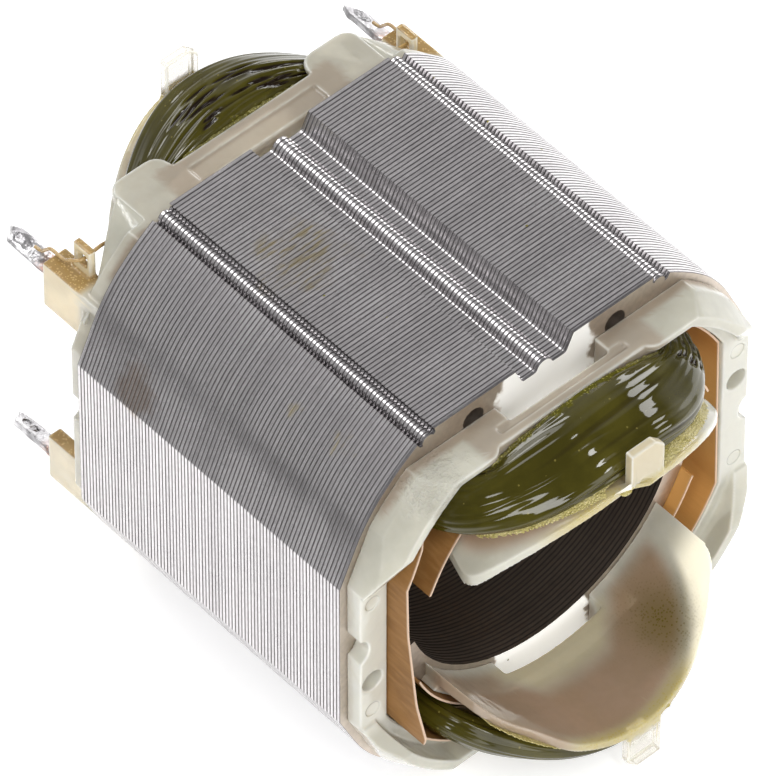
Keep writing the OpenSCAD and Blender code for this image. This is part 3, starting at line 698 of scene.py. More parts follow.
# %% Rounded copies of solids
def rounded_copy(node_name, piece_name, voxel, passes, kept=1.0):
    """Merged copy of a solid, remeshed in voxels, smoothed to round its edges, and thinned to a share."""
    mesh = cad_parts[node_name].data.copy()
    mesh.materials.clear()
    weld = bmesh.new()
    weld.from_mesh(mesh)
    bmesh.ops.remove_doubles(weld, verts=weld.verts, dist=0.002 * MM)
    weld.to_mesh(mesh)
    weld.free()
    rough = bpy.data.objects.new("rough_copy", mesh)
    scene.collection.objects.link(rough)
    remesh = rough.modifiers.new("voxels", "REMESH")
    remesh.mode = "VOXEL"
    remesh.voxel_size = voxel * MM
    soften = rough.modifiers.new("soften", "SMOOTH")
    soften.factor = 0.5
    soften.iterations = passes
    if kept < 1:
        rough.modifiers.new("thin", "DECIMATE").ratio = kept
    bpy.context.view_layer.update()
    shape = bpy.data.meshes.new_from_object(rough.evaluated_get(bpy.context.evaluated_depsgraph_get()))
    shape.name = piece_name
    bpy.data.objects.remove(rough)
    points = np.empty(3 * len(shape.vertices), dtype=np.float32)
    shape.vertices.foreach_get("co", points)
    return shape, points.reshape(-1, 3) / MM


def point_normals(mesh):
    """Outward unit directions of a mesh's points."""
    normals = np.empty(3 * len(mesh.vertices), dtype=np.float32)
    mesh.vertex_normals.foreach_get("vector", normals)
    return normals.reshape(-1, 3)


def edge_roundness(mesh, points):
    """How far each point stands out of its neighbours' mean, in millimetres: positive on outer edges."""
    pairs = np.empty(2 * len(mesh.edges), dtype=np.int32)
    mesh.edges.foreach_get("vertices", pairs)
    first, second = pairs.reshape(-1, 2).T
    count = np.bincount(pairs, minlength=len(points))[:, None]
    around = np.stack([np.bincount(first, points[second, axis], len(points))
                       + np.bincount(second, points[first, axis], len(points)) for axis in range(3)], axis=1)
    return np.sum((points - around / count) * point_normals(mesh), axis=1)

# %% What stands behind the nylon
tongue_in_r = 18.9
tongue_out_r = 20.0
tongue_reach = 15.7
tongue_edge_r = 21.7
coil_reach = 14.4
coil_angle = 51.0


def insulator_values(points, normals, end):
    """For each point of a moulding: what stands behind it, and how far each tint or resin reaches there."""
    x = points[:, 0]
    z = points[:, 2]
    h = end * -points[:, 1] - half_len
    r = np.hypot(x, z)
    side_angle = np.degrees(np.arctan2(x, np.abs(z)))
    on_tongue = ease((tongue_out_r + 0.6 - r) / 0.3) * ease((h - 0.3) / 1.2)
    to_edge = np.sqrt(((side_angle + 3) / 49) ** 2 + (h / (coil_reach + 0.3)) ** 2)
    lower = z < 0
    begins = 4.4 - 2.4 * ease((np.abs(side_angle + 2) - 12) / 10) - 2.6 * ease((side_angle - 18) / 10)
    behind = on_tongue * ease((1.07 - to_edge) / 0.14) * ease((h - begins) / 3.6)
    left_rim = on_tongue * ease((-side_angle - 20) / 10) * ease((h - 0.4) / 2)
    behind = np.maximum(behind, 0.8 * left_rim * lower)
    cream = on_tongue * (1 - behind) * ease((h - 0.6) / 1.2) * ease((34 - np.abs(side_angle + 3)) / 14)
    # Painted light: the lower tongue's right rim, lit from behind, is marked for a lighter colour and a glow.
    painted_backlit_rim = (on_tongue * ease((to_edge - 1.04) / 0.09) * ease((side_angle - 18) / 14)
                  * ease((h - 3) / 4) * lower)
    steel = ease((1.6 - h) / 0.8) * ease((r - 19.5) / 1.5) * ease((23.2 - np.abs(x)) / 1.5)
    pad = ease((12.6 - np.abs(x)) / 1.2) * ease((np.abs(z) - 20.2) / 0.6) * ease((6.4 - h) / 0.6)
    steel = np.maximum(steel, 0.85 * pad)
    patch = np.exp(-((side_angle - 30) / 11) ** 2 - ((h - 8.2) / 5.0) ** 2) * on_tongue * lower
    rim = on_tongue * ease((h - 12.4) / 2.4) * ease((to_edge - 0.93) / 0.1) * ease((side_angle + 34) / 18)
    tower = ease((h - 2.4) / 1.0) * ease((np.abs(x) - 20.5) / 0.8) * ease((np.abs(z) - 9.6) / 0.8) * (end < 0)
    ear = ease((11.8 - np.abs(z)) / 1.5) * ease((np.abs(x) - 22.3) / 0.8)
    tab = ease((h - 14.0) / 0.4) * ease((r - 20.2) / 0.8)
    steel = np.maximum(steel, 0.25 * (1 - tower) * (end < 0))
    tower_top = tower * ease((normals[:, 2] - 0.3) / 0.4)
    tab_clear = tab * (lower | (end < 0))
    return dict(coil_behind=behind, steel_behind=steel, olive_patch=patch, resin_rim=rim, tower=tower,
                ear=ear, tab=tab, cream=cream, painted_backlit_rim=painted_backlit_rim, tower_top=tower_top,
                tab_clear=tab_clear)

# %% [markdown]
# ## Finish of the nylon
# Milky nylon is nearly white where it is thin and free, ivory in its bulk and beige-brown with a coil behind
# it. Its outer edges are painted nearly white, partly for the thin nylon and partly as a painted highlight
# along the rounded edges. The light that wanders inside it comes from some subsurface scattering and
# transmission; the lower tongue's right rim, which stands against the light, is painted lighter and given a
# faint glow, painted light for the light behind it. The gloss comes from a smooth surface with slow waves.
# The hook tabs at the rear and below are thin and clear, so they get a low alpha inside their edges. Resin
# that ran over the nylon leaves olive speckles and a yellow rim, and amber grains on the towers. Its relief
# holds the round marks of the ejector pins on the ears and, on one horn, a crinkled skin that glitters.

# %% Nylon material
nylon, tree, shader = new_material("milky_nylon", Roughness=0.13, Subsurface_Weight=0.3,
                                   Subsurface_Scale=0.0018, IOR=1.53, Emission_Strength=1.0,
                                   Transmission_Weight=0.32)
shader.inputs["Subsurface Radius"].default_value = (1.0, 0.92, 0.75)
spot = object_spot(tree)
cloudy = use_group(tree, mottle, Cloud_Scale=140.0, Grain_Scale=1500.0)
body = blend(tree, cloudy["Cloud"], colour(0.6, 0.585, 0.495), colour(0.74, 0.725, 0.625))
body = blend(tree, point_value(tree, "ear"), body, colour(0.8, 0.79, 0.7))
body = blend(tree, times(tree, point_value(tree, "steel_behind"), 0.85), body, colour(0.42, 0.335, 0.25))
tower_tint = blend(tree, between(tree, axes_of(tree, spot)["Z"], -0.005, 0.005),
                   colour(0.9, 0.8, 0.6), colour(0.85, 0.72, 0.48))
body = blend(tree, point_value(tree, "tower"), body, tower_tint)
body = blend(tree, times(tree, point_value(tree, "tab"), 0.8), body, colour(0.68, 0.58, 0.38))
# Outer edges painted nearly white: partly the thin nylon, partly a painted highlight along the rounded edges.
body = blend(tree, point_value(tree, "outer_edge"), body, colour(0.94, 0.935, 0.86))
body = blend(tree, point_value(tree, "cream"), body, colour(0.68, 0.61, 0.42))
soaked = blend(tree, cloudy["Cloud"], colour(0.45, 0.325, 0.215), colour(0.53, 0.375, 0.26))
body = blend(tree, point_value(tree, "coil_behind"), body, soaked)
# Painted light: the backlit right rim of the lower tongue is painted nearly white.
body = blend(tree, point_value(tree, "painted_backlit_rim"), body, colour(0.88, 0.84, 0.71))
grains = use_group(tree, specks, Scale=3600.0, Size=0.4, Share=0.55)
amber = blend(tree, grains["Dots"], colour(0.42, 0.26, 0.075), colour(0.72, 0.5, 0.2))
body = blend(tree, times(tree, point_value(tree, "tower_top"), 0.9), body, amber)
olive = times(tree, point_value(tree, "olive_patch"), between(tree, grains["Dots"], 0.0, 1.0, 0.7, 1.0))
body = blend(tree, olive, body, colour(0.19, 0.14, 0.025))
rim_resin = times(tree, point_value(tree, "resin_rim"), between(tree, grains["Dots"], 0.0, 1.0, 0.55, 0.9))
body = blend(tree, rim_resin, body, colour(0.6, 0.49, 0.15))
# Painted light: a faint glow on the backlit rim, standing in for light coming through it.
painted_rim_glow = blend(tree, point_value(tree, "painted_backlit_rim"), colour(0, 0, 0), colour(0.36, 0.345, 0.285))
clear = times(tree, point_value(tree, "tab_clear"),
              between(tree, point_value(tree, "outer_edge"), 0.0, 0.6, 0.8, 0.15))
connect(tree, shader, Base_Color=body, Emission_Color=painted_rim_glow, Alpha=calc(tree, "SUBTRACT", 1.0, clear))

# %% Relief of the nylon
waves = place(tree, "ShaderNodeTexNoise", {"Vector": spot, "Scale": 320.0, "Detail": 2.0})
crinkles = place(tree, "ShaderNodeTexNoise", {"Vector": spot, "Scale": 1900.0, "Detail": 3.0,
                                              "Roughness": 0.65})
crinkled = near_spot(tree, spot, (-17.4, -24.4, 21.8), 5.2, 300.0)
corner_spot = place(tree, "ShaderNodeVectorMath", {0: spot}, operation="ABSOLUTE").outputs[0]
flattened = place(tree, "ShaderNodeVectorMath", {0: corner_spot, 1: (1.0, 0.0, 1.0)}, operation="MULTIPLY")
from_pin = place(tree, "ShaderNodeVectorMath", {0: flattened.outputs[0], 1: (24.95 * MM, 0.0, 8.4 * MM)},
                 operation="DISTANCE").outputs["Value"]
pin_mark = between(tree, from_pin, 0.85 * MM, 0.98 * MM)
relief = calc(tree, "ADD", times(tree, waves.outputs[0], 0.16), times(tree, pin_mark, 0.1))
relief = calc(tree, "ADD", relief, times(tree, times(tree, crinkles.outputs[0], crinkled), 0.6))
bumped(tree, shader, relief, MM)

# %% Both mouldings
def trimmed_tongue(points):
    """The lower front tongue's left corner drawn in along its curve: turned towards the middle and back."""
    x, y, z = points.T
    h = -y - half_len
    r = np.hypot(x, z)
    angle = np.degrees(np.arctan2(x, -z))
    share = ease((tongue_out_r + 0.5 - r) / 0.3) * ease((-angle - 22) / 20) * ease((h - 2) / 7)
    turned = np.radians(angle + 5.0 * share)
    return np.column_stack([np.where(share > 0, r * np.sin(turned), x), y + share,
                            np.where(share > 0, -r * np.cos(turned), z)])


for node_name, piece_name, end, voxel, kept in (("front_insulator", "front_moulding", 1, 0.145, 0.36),
                                                ("rear_insulator", "rear_moulding", -1, 0.16, 0.4)):
    shape, points = rounded_copy(node_name, piece_name, voxel, 8, kept)
    standing = edge_roundness(shape, points)
    add_values(shape, outer_edge=ease(standing / 0.03), **insulator_values(points, point_normals(shape), end))
    if end > 0:
        shape.vertices.foreach_set("co", (trimmed_tongue(points) * MM).astype(np.float32).ravel())
    finish_piece(shape, [node_name], [nylon], 80)

# %% [markdown]
# ## Webs between horns and towers
# At the rear, a wall of the moulding falls from each horn to the tower beside it. It could be cut from a
# larger remeshed block, but a round-topped section carried along the plate's rim, lower with each step, is
# smoother and leaves the rounded copy of the solid as it is.

# %% Webs of the rear moulding
web_in_r = 26.9
web_foot_r = 29.2
web_rows = 40
round_steps = 9


def rear_web(side, pole):
    """The wall from a rear horn down to its tower: a thin round-topped section along the plate's rim."""
    turn = np.radians(np.linspace(32, 61, web_rows))[:, None]
    top = 6.9 - 4.6 * ease((np.degrees(turn) - 31) / 26)
    outer = web_foot_r - 1.4 * top / 8
    rounding = np.radians(np.linspace(0, 180, round_steps))[None]
    middle = (outer + web_in_r) / 2
    r = np.concatenate([web_foot_r + 0 * turn, middle + (outer - web_in_r) / 2 * np.cos(rounding),
                        web_in_r + 0 * turn], axis=1)
    h = np.concatenate([1.2 + 0 * turn, top - 0.5 + 0.5 * np.sin(rounding), 1.2 + 0 * turn], axis=1)
    points = world_points(side * r * np.sin(turn), pole * np.minimum(r * np.cos(turn), 22.65), -half_len - h)
    return points, tube_faces(web_rows, round_steps + 2)


four_corners = (("upper_left", -1, 1), ("upper_right", 1, 1), ("lower_left", -1, -1), ("lower_right", 1, -1))
for corner, side, pole in four_corners:
    points, faces = rear_web(side, pole)
    finish_piece(mesh_from(f"{corner}_web", points, faces), [], [nylon], 60)

# %% [markdown]
# ## Field coils
# Each coil is some hundred turns of enamelled wire, pressed to shape round its pole and drowned in olive
# varnish, so that single strands show only as long soft ridges, dents and a few open gaps. Hundreds of
# separate wires would be heavy and would look too neat. Instead, one closed section is carried round the
# pole, through both slots and over both ends. Its outer side is pressed in by strand valleys that wander, by
# long waves, and by oval gaps at the turns; the wave troughs, deep valleys and gaps get painted shade.

# %% Form of a coil
coil_inner_angle = 31.5
coil_root = {1: 4.5, -1: 6.1}
leg_low_r = 21.25
leg_high_r = 24.95
head_low_r = 20.05
coil_crown = 24.6


def signed_power(values, power):
    """Power of the size of each value, with its sign kept: it squares up a circle."""
    return np.sign(values) * np.abs(values) ** power


def coil_radius(angle, height, level, droop):
    """Radius on the coil: level -1 is its underside, 1 its top, eased from the slot into the crowned head."""
    in_head = ease((height - 1.5) / 9.0)
    crown = coil_crown - droop * ease((np.abs(angle) - 4) / 26) - 1.1 * ease((height - 6) / 8)
    low = leg_low_r + (head_low_r - leg_low_r) * in_head
    high = leg_high_r + (crown - leg_high_r) * in_head
    return (low + high) / 2 + (high - low) / 2 * level


def coil_edges(turn, root):
    """Outer edge, half an ellipse, and inner edge, a rounded rectangle, as angle and height by turn."""
    outer_angle = coil_angle * np.cos(np.radians(turn))
    outer_height = coil_reach * np.sin(np.radians(turn))
    near = np.minimum(turn, 180 - turn)
    side = np.where(turn < 90, 1.0, -1.0)
    corner_size = 3.0
    corner = np.degrees(corner_size / 23.1)
    bend = np.radians(90 * np.minimum(near, 30) / 30)
    straight = coil_inner_angle - corner
    at_corner = near < 30
    inner_angle = side * np.where(at_corner, straight + corner * np.cos(bend), straight * (90 - near) / 60)
    inner_height = np.where(at_corner, root - corner_size * (1 - np.sin(bend)), root)
    return outer_angle, outer_height, inner_angle, inner_height

# %% Section of a coil
head_rows = 170
section_cols = 168
section_wide = 9.5
section_tall = 2.3
fine_steps = 1441
leg_rings = 6


def coil_section(count):
    """Closed section with even steps, from under the nose over the top: share, level, normal, length.

    It is a squared-up ellipse with other powers above than below, drawn finely and stepped by its length.
    """
    turn = np.radians(np.linspace(-60, 300, fine_steps))
    share = 0.5 + 0.5 * signed_power(np.cos(turn), 0.85)
    level = signed_power(np.sin(turn), np.where(np.sin(turn) > 0, 0.85, 0.5))
    steps = np.hypot(np.diff(share) * section_wide, np.diff(level) * section_tall)
    length = np.concatenate([[0], np.cumsum(steps)])
    even = np.linspace(0, length[-1], count + 1)[:-1]
    share = np.interp(even, length, share)
    level = np.interp(even, length, level)
    wide = (np.roll(share, -1) - np.roll(share, 1)) * section_wide
    tall = (np.roll(level, -1) - np.roll(level, 1)) * section_tall
    size = np.hypot(wide, tall)
    open_length = np.interp(4 * math.pi / 3, np.radians(np.linspace(0, 360, fine_steps)), length)
    return share, level, tall / size, -wide / size, even, open_length


(section_share, section_level, normal_share, normal_level,
 section_length, pad_length) = coil_section(section_cols)
section_open = ease(section_length) * ease((pad_length - section_length) / 1.2)
print(f"coil section {section_length[-1]:.1f} mm round, {pad_length:.1f} mm of it open")

# %% Ridges and gaps of a coil
def ridge_waves(across, along, seed):
    """Long soft ridges: the sum of four waves across the strands, whose phase and height drift along them."""
    lengths = np.array([2.9, 1.9, 1.3, 0.9])
    sizes = np.array([0.32, 0.32, 0.2, 0.09])
    phases = np.random.default_rng(seed).uniform(0, 2 * math.pi, (3, 4))
    across = across[..., None]
    along = along[..., None]
    drift = 1.5 * np.sin(2 * math.pi * 0.9 * along + phases[1])
    fade = 0.6 + 0.4 * np.sin(2 * math.pi * 1.5 * along + phases[2])
    return np.sum(sizes * fade * np.sin(2 * math.pi * across / lengths + phases[0] + drift), axis=-1)


def oval_dents(across, along, centres, wide, long):
    """Small oval hollows: the highest of the bells that stand at the centres, wide across and long along."""
    sideways = (across[..., None] - centres[:, 0]) / wide
    lengthways = (along[..., None] - centres[:, 1]) / long
    return np.exp(-(sideways ** 2 + lengthways ** 2)).max(axis=-1)

# %% Heads and legs of a coil
def coil_head(end, seed, open_end):
    """Half of a coil over one end: rows from the right slot to the left one, columns round the section."""
    turn = np.linspace(0, 180, head_rows)[:, None]
    outer_angle, outer_height, inner_angle, inner_height = coil_edges(turn, coil_root[end])
    across = section_length[None] + np.zeros_like(turn)
    along = turn / 180 + np.zeros_like(across)
    wander = value_noise(across / 3.0, along * 7, (16, 16), seed)
    wander = wander + value_noise(across / 6, along * 3, (8, 8), seed + 1)
    strand = across / 1.15 + 0.3 * wander
    valley = (1 - np.abs(np.sin(math.pi * strand))) ** 1.6
    at_ends = ease((0.2 - along) / 0.12) + ease((along - 0.86) / 0.1)
    patchy = 0.6 + 0.6 * value_noise(across / 2.2, along * 4, (16, 16), seed + 2)
    combed = np.clip((0.2 + 0.5 * ease((6.4 - across) / 2.6) + at_ends) * patchy, 0, 1)
    combed = combed if end > 0 else 0.55 * np.clip(patchy, 0, 1)
    places = np.random.default_rng(seed + 4).uniform(0, 1, (44, 2))
    if end > 0:
        centres = places[:22] * (pad_length - 6.5, 0.11) + (3.0, 0.06)
        gaps = open_end * oval_dents(across, along, centres, 0.22, 0.014)
    else:
        centres = places * (5.5, 0.48) + (pad_length - 7.0, 0.14)
        gaps = oval_dents(across, along, centres, 0.19, 0.032)
    gaps = np.clip(gaps + 0.3 * valley * value_noise(across / 1.4, along * 9, (32, 32), seed + 6), 0, 1)
    swell = ridge_waves(across, along, seed + 3)
    pressed = section_open * (0.24 * valley * combed + 0.2 * (1 + swell) + 0.5 * gaps)
    pressed[1:-1] = (pressed[:-2] + 2 * pressed[1:-1] + pressed[2:]) / 4
    pressed[:, 1:-1] = (pressed[:, :-2] + 2 * pressed[:, 1:-1] + pressed[:, 2:]) / 4
    share = section_share - pressed * normal_share / section_wide
    level = section_level - pressed * normal_level / section_tall
    angle = inner_angle + (outer_angle - inner_angle) * share
    height = inner_height + (outer_height - inner_height) * share
    full = ease(angle / 12) if end < 0 else 1.0 - open_end
    droop = 1.4 - 1.2 * full
    radius = coil_radius(angle, height, level, droop)
    # Wave troughs, deep valleys and gaps are marked for painted shade in the varnish's colour.
    trough = ease((0.1 + swell) / 0.6)
    gap_mask = section_open * np.clip(0.5 * trough + 0.4 * valley ** 3 * combed + 1.6 * gaps, 0, 1)
    ragged = 0.05 * value_noise(across, along * 90, (32, 128), seed + 5)
    fringe = 0.12 if end > 0 else 0.0
    resin = ease((fringe + ragged - section_share) / 0.06) * (section_level > -0.5)
    x = radius * np.sin(np.radians(angle))
    z = radius * np.cos(np.radians(angle))
    return np.stack([x, z, end * (half_len + height)], axis=-1), gap_mask, resin + np.zeros_like(angle)


def coil_points(seed, open_end):
    """Rings round the whole coil: front head, left leg, rear head and right leg, with the point values."""
    front, front_gap, front_resin = coil_head(1, seed, open_end)
    rear, rear_gap, rear_resin = coil_head(-1, seed + 20, open_end)
    steps = np.linspace(0, 1, leg_rings + 2)[1:-1, None, None]
    left_leg = front[-1:] + (rear[-1:] - front[-1:]) * steps
    right_leg = rear[:1] + (front[:1] - rear[:1]) * steps
    quiet = np.zeros(left_leg.shape[:2])
    rings = np.concatenate([front, left_leg, rear[::-1], right_leg])
    gap = np.concatenate([front_gap, quiet, rear_gap[::-1], quiet])
    resin = np.concatenate([front_resin, quiet, rear_resin[::-1], quiet])
    return rings, gap, resin


print(f"coil: {2 * (head_rows + leg_rings)} rings of {section_cols} points")

# %% [markdown]
# ## Finish of the coils
# The varnish is a clear, hard, glossy coat over dark olive enamel. A coat layer with a low roughness carries
# the white streaks. The colour below is painted brown-black as shade in the gaps, deep strand valleys and
# wave troughs, with reddish copper where enamel is scraped and yellow grains where dust stuck before the
# varnish dried. Towards the pole and at the tongue's edge the varnish is full of yellow-green grains.

# %% Varnish material
varnish, tree, shader = new_material("olive_varnish", Roughness=0.5, Specular_IOR_Level=0.0, Coat_Weight=1.0,
                                     Coat_Roughness=0.06, Coat_IOR=1.45)
cloudy = use_group(tree, mottle, Cloud_Scale=190.0, Grain_Scale=2600.0)
body = blend(tree, cloudy["Cloud"], colour(0.04, 0.034, 0.003), colour(0.064, 0.055, 0.006))
# Painted shade: brown-black in the gaps, deep strand valleys and wave troughs.
body = blend(tree, between(tree, point_value(tree, "gap"), 0.25, 0.9), body, colour(0.012, 0.006, 0.003))
copper = use_group(tree, specks, Scale=420.0, Size=0.14, Share=0.045)
body = blend(tree, times(tree, copper["Dots"], 0.8), body, colour(0.2, 0.02, 0.008))
grains = use_group(tree, specks, Scale=1300.0, Size=0.15, Share=0.17)
body = blend(tree, times(tree, grains["Dots"], 0.4), body, colour(0.3, 0.25, 0.06))
crumbs = use_group(tree, specks, Scale=4200.0, Size=0.4, Share=0.5)
resin_tone = blend(tree, crumbs["Dots"], colour(0.09, 0.082, 0.01), colour(0.3, 0.27, 0.06))
body = blend(tree, point_value(tree, "resin"), body, resin_tone)
dulled = between(tree, point_value(tree, "resin"), 0.2, 0.8, 1.0, 0.15)
connect(tree, shader, Base_Color=body, Coat_Weight=dulled)
lumps = calc(tree, "ADD", times(tree, crumbs["Bulge"], point_value(tree, "resin")),
             times(tree, grains["Dots"], 0.2))
bumped(tree, shader, lumps, 0.00012)

# %% Both coils
for node_name, piece_name, pole, seed, open_end in (("upper_coil", "upper_winding", 1, 11, 1),
                                                    ("lower_coil", "lower_winding", -1, 57, 0)):
    rings, gap, resin = coil_points(seed, open_end)
    points = world_points(pole * rings[..., 0], pole * rings[..., 1], rings[..., 2])
    mesh = mesh_from(piece_name, points, grid_quads(*rings.shape[:2], loop_rows=True), gap=gap, resin=resin)
    finish_piece(mesh, [node_name], [varnish], 85)

# %% [markdown]
# ## Resin grains
# Trickled resin sets first where the coil touches the nylon: as a lumpy bead in the crevice behind the coil
# and as a thin grainy apron on the tongue in front of it. Both are closed sections carried along the coil's
# edge, with their thickness broken up by noise so that the border is ragged.

# %% Resin material
grainy_resin, tree, shader = new_material("grainy_resin", Roughness=0.4, Coat_Weight=0.12, Coat_Roughness=0.2)
crumbs = use_group(tree, specks, Scale=4300.0, Size=0.45, Share=0.6)
cloudy = use_group(tree, mottle, Cloud_Scale=420.0, Grain_Scale=5200.0)
body = blend(tree, crumbs["Dots"], colour(0.42, 0.35, 0.08), colour(0.84, 0.74, 0.36))
body = blend(tree, times(tree, cloudy["Cloud"], 0.6), body, colour(0.66, 0.58, 0.28))
soaked = blend(tree, crumbs["Dots"], colour(0.11, 0.1, 0.012), colour(0.34, 0.31, 0.08))
body = blend(tree, point_value(tree, "olive"), body, soaked)
connect(tree, shader, Base_Color=body)
bumped(tree, shader, crumbs["Bulge"], 0.00012)

# %% Resin beads and aprons
def resin_bead(end, pole, seed):
    """A lumpy rod in the crevice between coil and pad: a round section along the pad's upper edge."""
    rows, sides = (180, 12)
    x = np.linspace(-11.5, 11.5, rows)[:, None]
    turn = np.linspace(0, 2 * math.pi, sides + 1)[None, :-1]
    lump = 1 + 0.45 * value_noise(x * 2.2 + 60, turn * sides / (2 * math.pi), (128, sides), seed)
    taper = np.sqrt(np.clip(1 - (x / 11.6) ** 8, 0.02, 1))
    size = 0.36 * lump * taper
    z = 22.35 - 0.012 * x ** 2 + size * np.sin(turn) * 0.9
    h = coil_root[end] + 0.02 + size * np.cos(turn)
    points = world_points(pole * x, pole * z, end * (half_len + h))
    return points, tube_faces(rows, sides)


def resin_apron(end, pole, seed, first, last, cover_first, cover_last):
    """A thin grainy sheet on the tongue from the coil's edge over a growing share of the way to its edge."""
    rows, cols = (320, 16)
    angle = np.linspace(first, last, rows)[:, None]
    coil_edge = coil_reach * np.sqrt(np.clip(1 - (angle / coil_angle) ** 2, 0, 1)) - 0.9
    bowed = np.sqrt(tongue_edge_r ** 2 - (tongue_out_r * np.sin(np.radians(angle))) ** 2) - tongue_edge_r
    tongue_edge = tongue_reach + bowed - 0.25
    share = np.linspace(0, 1, cols)[None, :]
    part = (angle - first) / (last - first)
    cover = cover_first + (cover_last - cover_first) * part
    ragged = 0.07 * value_noise(angle * 2.6 + 180, share * 0, (512, 4), seed)
    start = np.minimum(coil_edge, tongue_edge - 0.3)
    h = start + (tongue_edge - start) * np.clip(share * (cover + ragged), 0, 1)
    grain = 1 + 0.7 * value_noise(angle * 4.0 + 300, share * (cols - 1), (512, cols), seed + 1)
    thick = 0.26 * (1 - share) ** 1.6 + 0.07 * np.sqrt(np.clip(1 - share, 0, 1)) * grain
    ends = np.sqrt(np.clip(1 - (2 * part - 1) ** 6, 0, 1))
    top_r = tongue_out_r + 0.02 + thick * ends
    low_r = np.full_like(top_r, tongue_out_r - 0.06)
    r = np.concatenate([top_r, low_r[:, ::-1]], axis=1)
    h = np.concatenate([h, h[:, ::-1]], axis=1)
    points = world_points(pole * r * np.sin(np.radians(angle)), pole * r * np.cos(np.radians(angle)),
                          end * (half_len + h))
    return points, tube_faces(rows, 2 * cols)


coil_heads = (("upper_front", 1, 1), ("lower_front", 1, -1), ("upper_rear", -1, 1), ("lower_rear", -1, -1))
for label, end, pole in coil_heads:
    points, faces = resin_bead(end, pole, 31 + end + 2 * pole)
    olive = np.full(len(points), 0.85)
    bead = mesh_from(f"{label}_resin_bead", points, faces, olive=olive)
    finish_piece(bead, [], [grainy_resin], 70)
    for side, *reach in (("left", -46, -5.6, 0.16, 0.7), ("right", 4.6, 47, 0.97, 0.7)):
        points, faces = resin_apron(end, pole, 71 + end + 2 * pole, *reach)
        apron = mesh_from(f"{label}_{side}_resin", points, faces)
        finish_piece(apron, [], [grainy_resin], 70)

# %% [markdown]
# ## Resin lumps
# Where the trickle stopped, single lumps hang on the tongues' edges. Each is a ball whose reach changes with
# direction by smooth noise. Plain balls would look like beads, and sculpting each one would show no gain.

# %% Resin lumps
ball_turn = np.linspace(0, 2 * math.pi, 25)[:-1]
ball_rise = np.linspace(-0.98, 0.98, 15)[:, None]


def lumpy_ball(seed):
    """A ball of about unit size whose distance from its middle is uneven: rows from one pole to the other."""
    wide = np.sqrt(1 - ball_rise ** 2)
    lump = 1 + 0.16 * value_noise(ball_turn[None] * 12 / math.pi, ball_rise * 6 + 8, (24, 16), seed)
    ball = np.stack([lump * wide * np.cos(ball_turn), lump * wide * np.sin(ball_turn), lump * ball_rise],
                    axis=-1)
    return ball.reshape(-1, 3), tube_faces(len(ball_rise), len(ball_turn))


lump_r = (tongue_in_r + tongue_out_r) / 2 + 0.25
for number, (pole, angle, height, size) in enumerate((
        (-1, 4.6, 14.82, 0.75), (-1, 7.4, 14.95, 0.6), (-1, 10.5, 14.75, 0.7), (-1, 13.6, 14.3, 0.5),
        (1, -7.6, 14.9, 0.55), (1, -5.6, 14.6, 0.6), (1, 4.9, 14.8, 0.5))):
    ball, faces = lumpy_ball(90 + number)
    turn = math.radians(angle)
    middle = world_points(lump_r * math.sin(turn), pole * lump_r * math.cos(turn), half_len + height)
    lump = mesh_from(f"resin_lump_{number + 1}", ball * (1.2 * size, size, 0.7 * size) + middle, faces)
    finish_piece(lump, [], [grainy_resin], 70)

# %% [markdown]
# ## Slot papers
# The slots are lined with pressboard, a smooth brown insulating paper, bent to a C and cut a little longer
# than the pack. The left one has slipped forwards and its front edge is cut askew. A sheet is a path with a
# thickness: the path follows the slot's wall, and each of its points carries the sheet's rear and front edge
# along the bore. The finish is fibres along the sheet, slow clouds, and pale cut edges, which are stored at
# the points. The right paper is painted lighter and more orange, painted light for the light that falls on
# it.

# %% Paper material
paper_brown, tree, shader = new_material("slot_paper", Roughness=0.6, Specular_IOR_Level=0.35)
cloudy = use_group(tree, mottle, Cloud_Scale=180.0, Grain_Scale=1800.0)
spot = object_spot(tree)
drawn_out = place(tree, "ShaderNodeMapping", {"Vector": spot, "Scale": (1.0, 0.2, 1.0),
                                              "Rotation": (0.5, 0.0, 0.0)})
fibre = place(tree, "ShaderNodeTexNoise", {"Vector": drawn_out.outputs[0], "Scale": 1500.0, "Detail": 5.0})
body = blend(tree, cloudy["Cloud"], colour(0.215, 0.1, 0.025), colour(0.285, 0.138, 0.038))
body = blend(tree, between(tree, fibre.outputs[0], 0.42, 0.75, 0.0, 0.5), body, colour(0.38, 0.2, 0.07))
dots = use_group(tree, specks, Scale=900.0, Size=0.12, Share=0.12)
body = blend(tree, times(tree, dots["Dots"], 0.5), body, colour(0.12, 0.06, 0.025))
# Painted light: the right paper, at X above 0, is painted lighter and more orange, as if lit.
body = blend(tree, between(tree, axes_of(tree, spot)["X"], 0.0, 0.01), body, colour(0.62, 0.315, 0.09))
body = blend(tree, times(tree, point_value(tree, "cut"), 0.8), body, colour(0.66, 0.5, 0.38))
connect(tree, shader, Base_Color=body)
bumped(tree, shader, fibre.outputs[0], 0.00007)

# %% Path of a slot paper
paper_gap = 0.05
paper_t = 0.22
paper_angle = 21


def paper_path(offset):
    """Path round the right slot at a distance from its wall, from one free edge at the shoe to the other."""
    bend_r = slot_end_r - offset
    outer_r = slot_r - offset
    back_x = slot_x - offset
    half = np.concatenate([
        arc((0, 0), shoe_r + offset, paper_angle, slot_end_angle, 12),
        arc(polar(slot_mid_r, slot_end_angle), bend_r, slot_end_angle + 180, slot_end_angle, 12),
        arc((0, 0), outer_r, slot_end_angle, math.degrees(math.acos(back_x / outer_r)), 8),
        line((back_x, math.sqrt(outer_r ** 2 - back_x ** 2)), (back_x, 0), 12),
        [(back_x, 0)]])
    return np.concatenate([half, half[-2::-1] * (1, -1)])


wall_side = paper_path(paper_gap)
coil_side = paper_path(paper_gap + paper_t)
path_count = len(wall_side)
on_shoe = np.hypot(wall_side[:, 0], wall_side[:, 1]) < shoe_r + 0.8


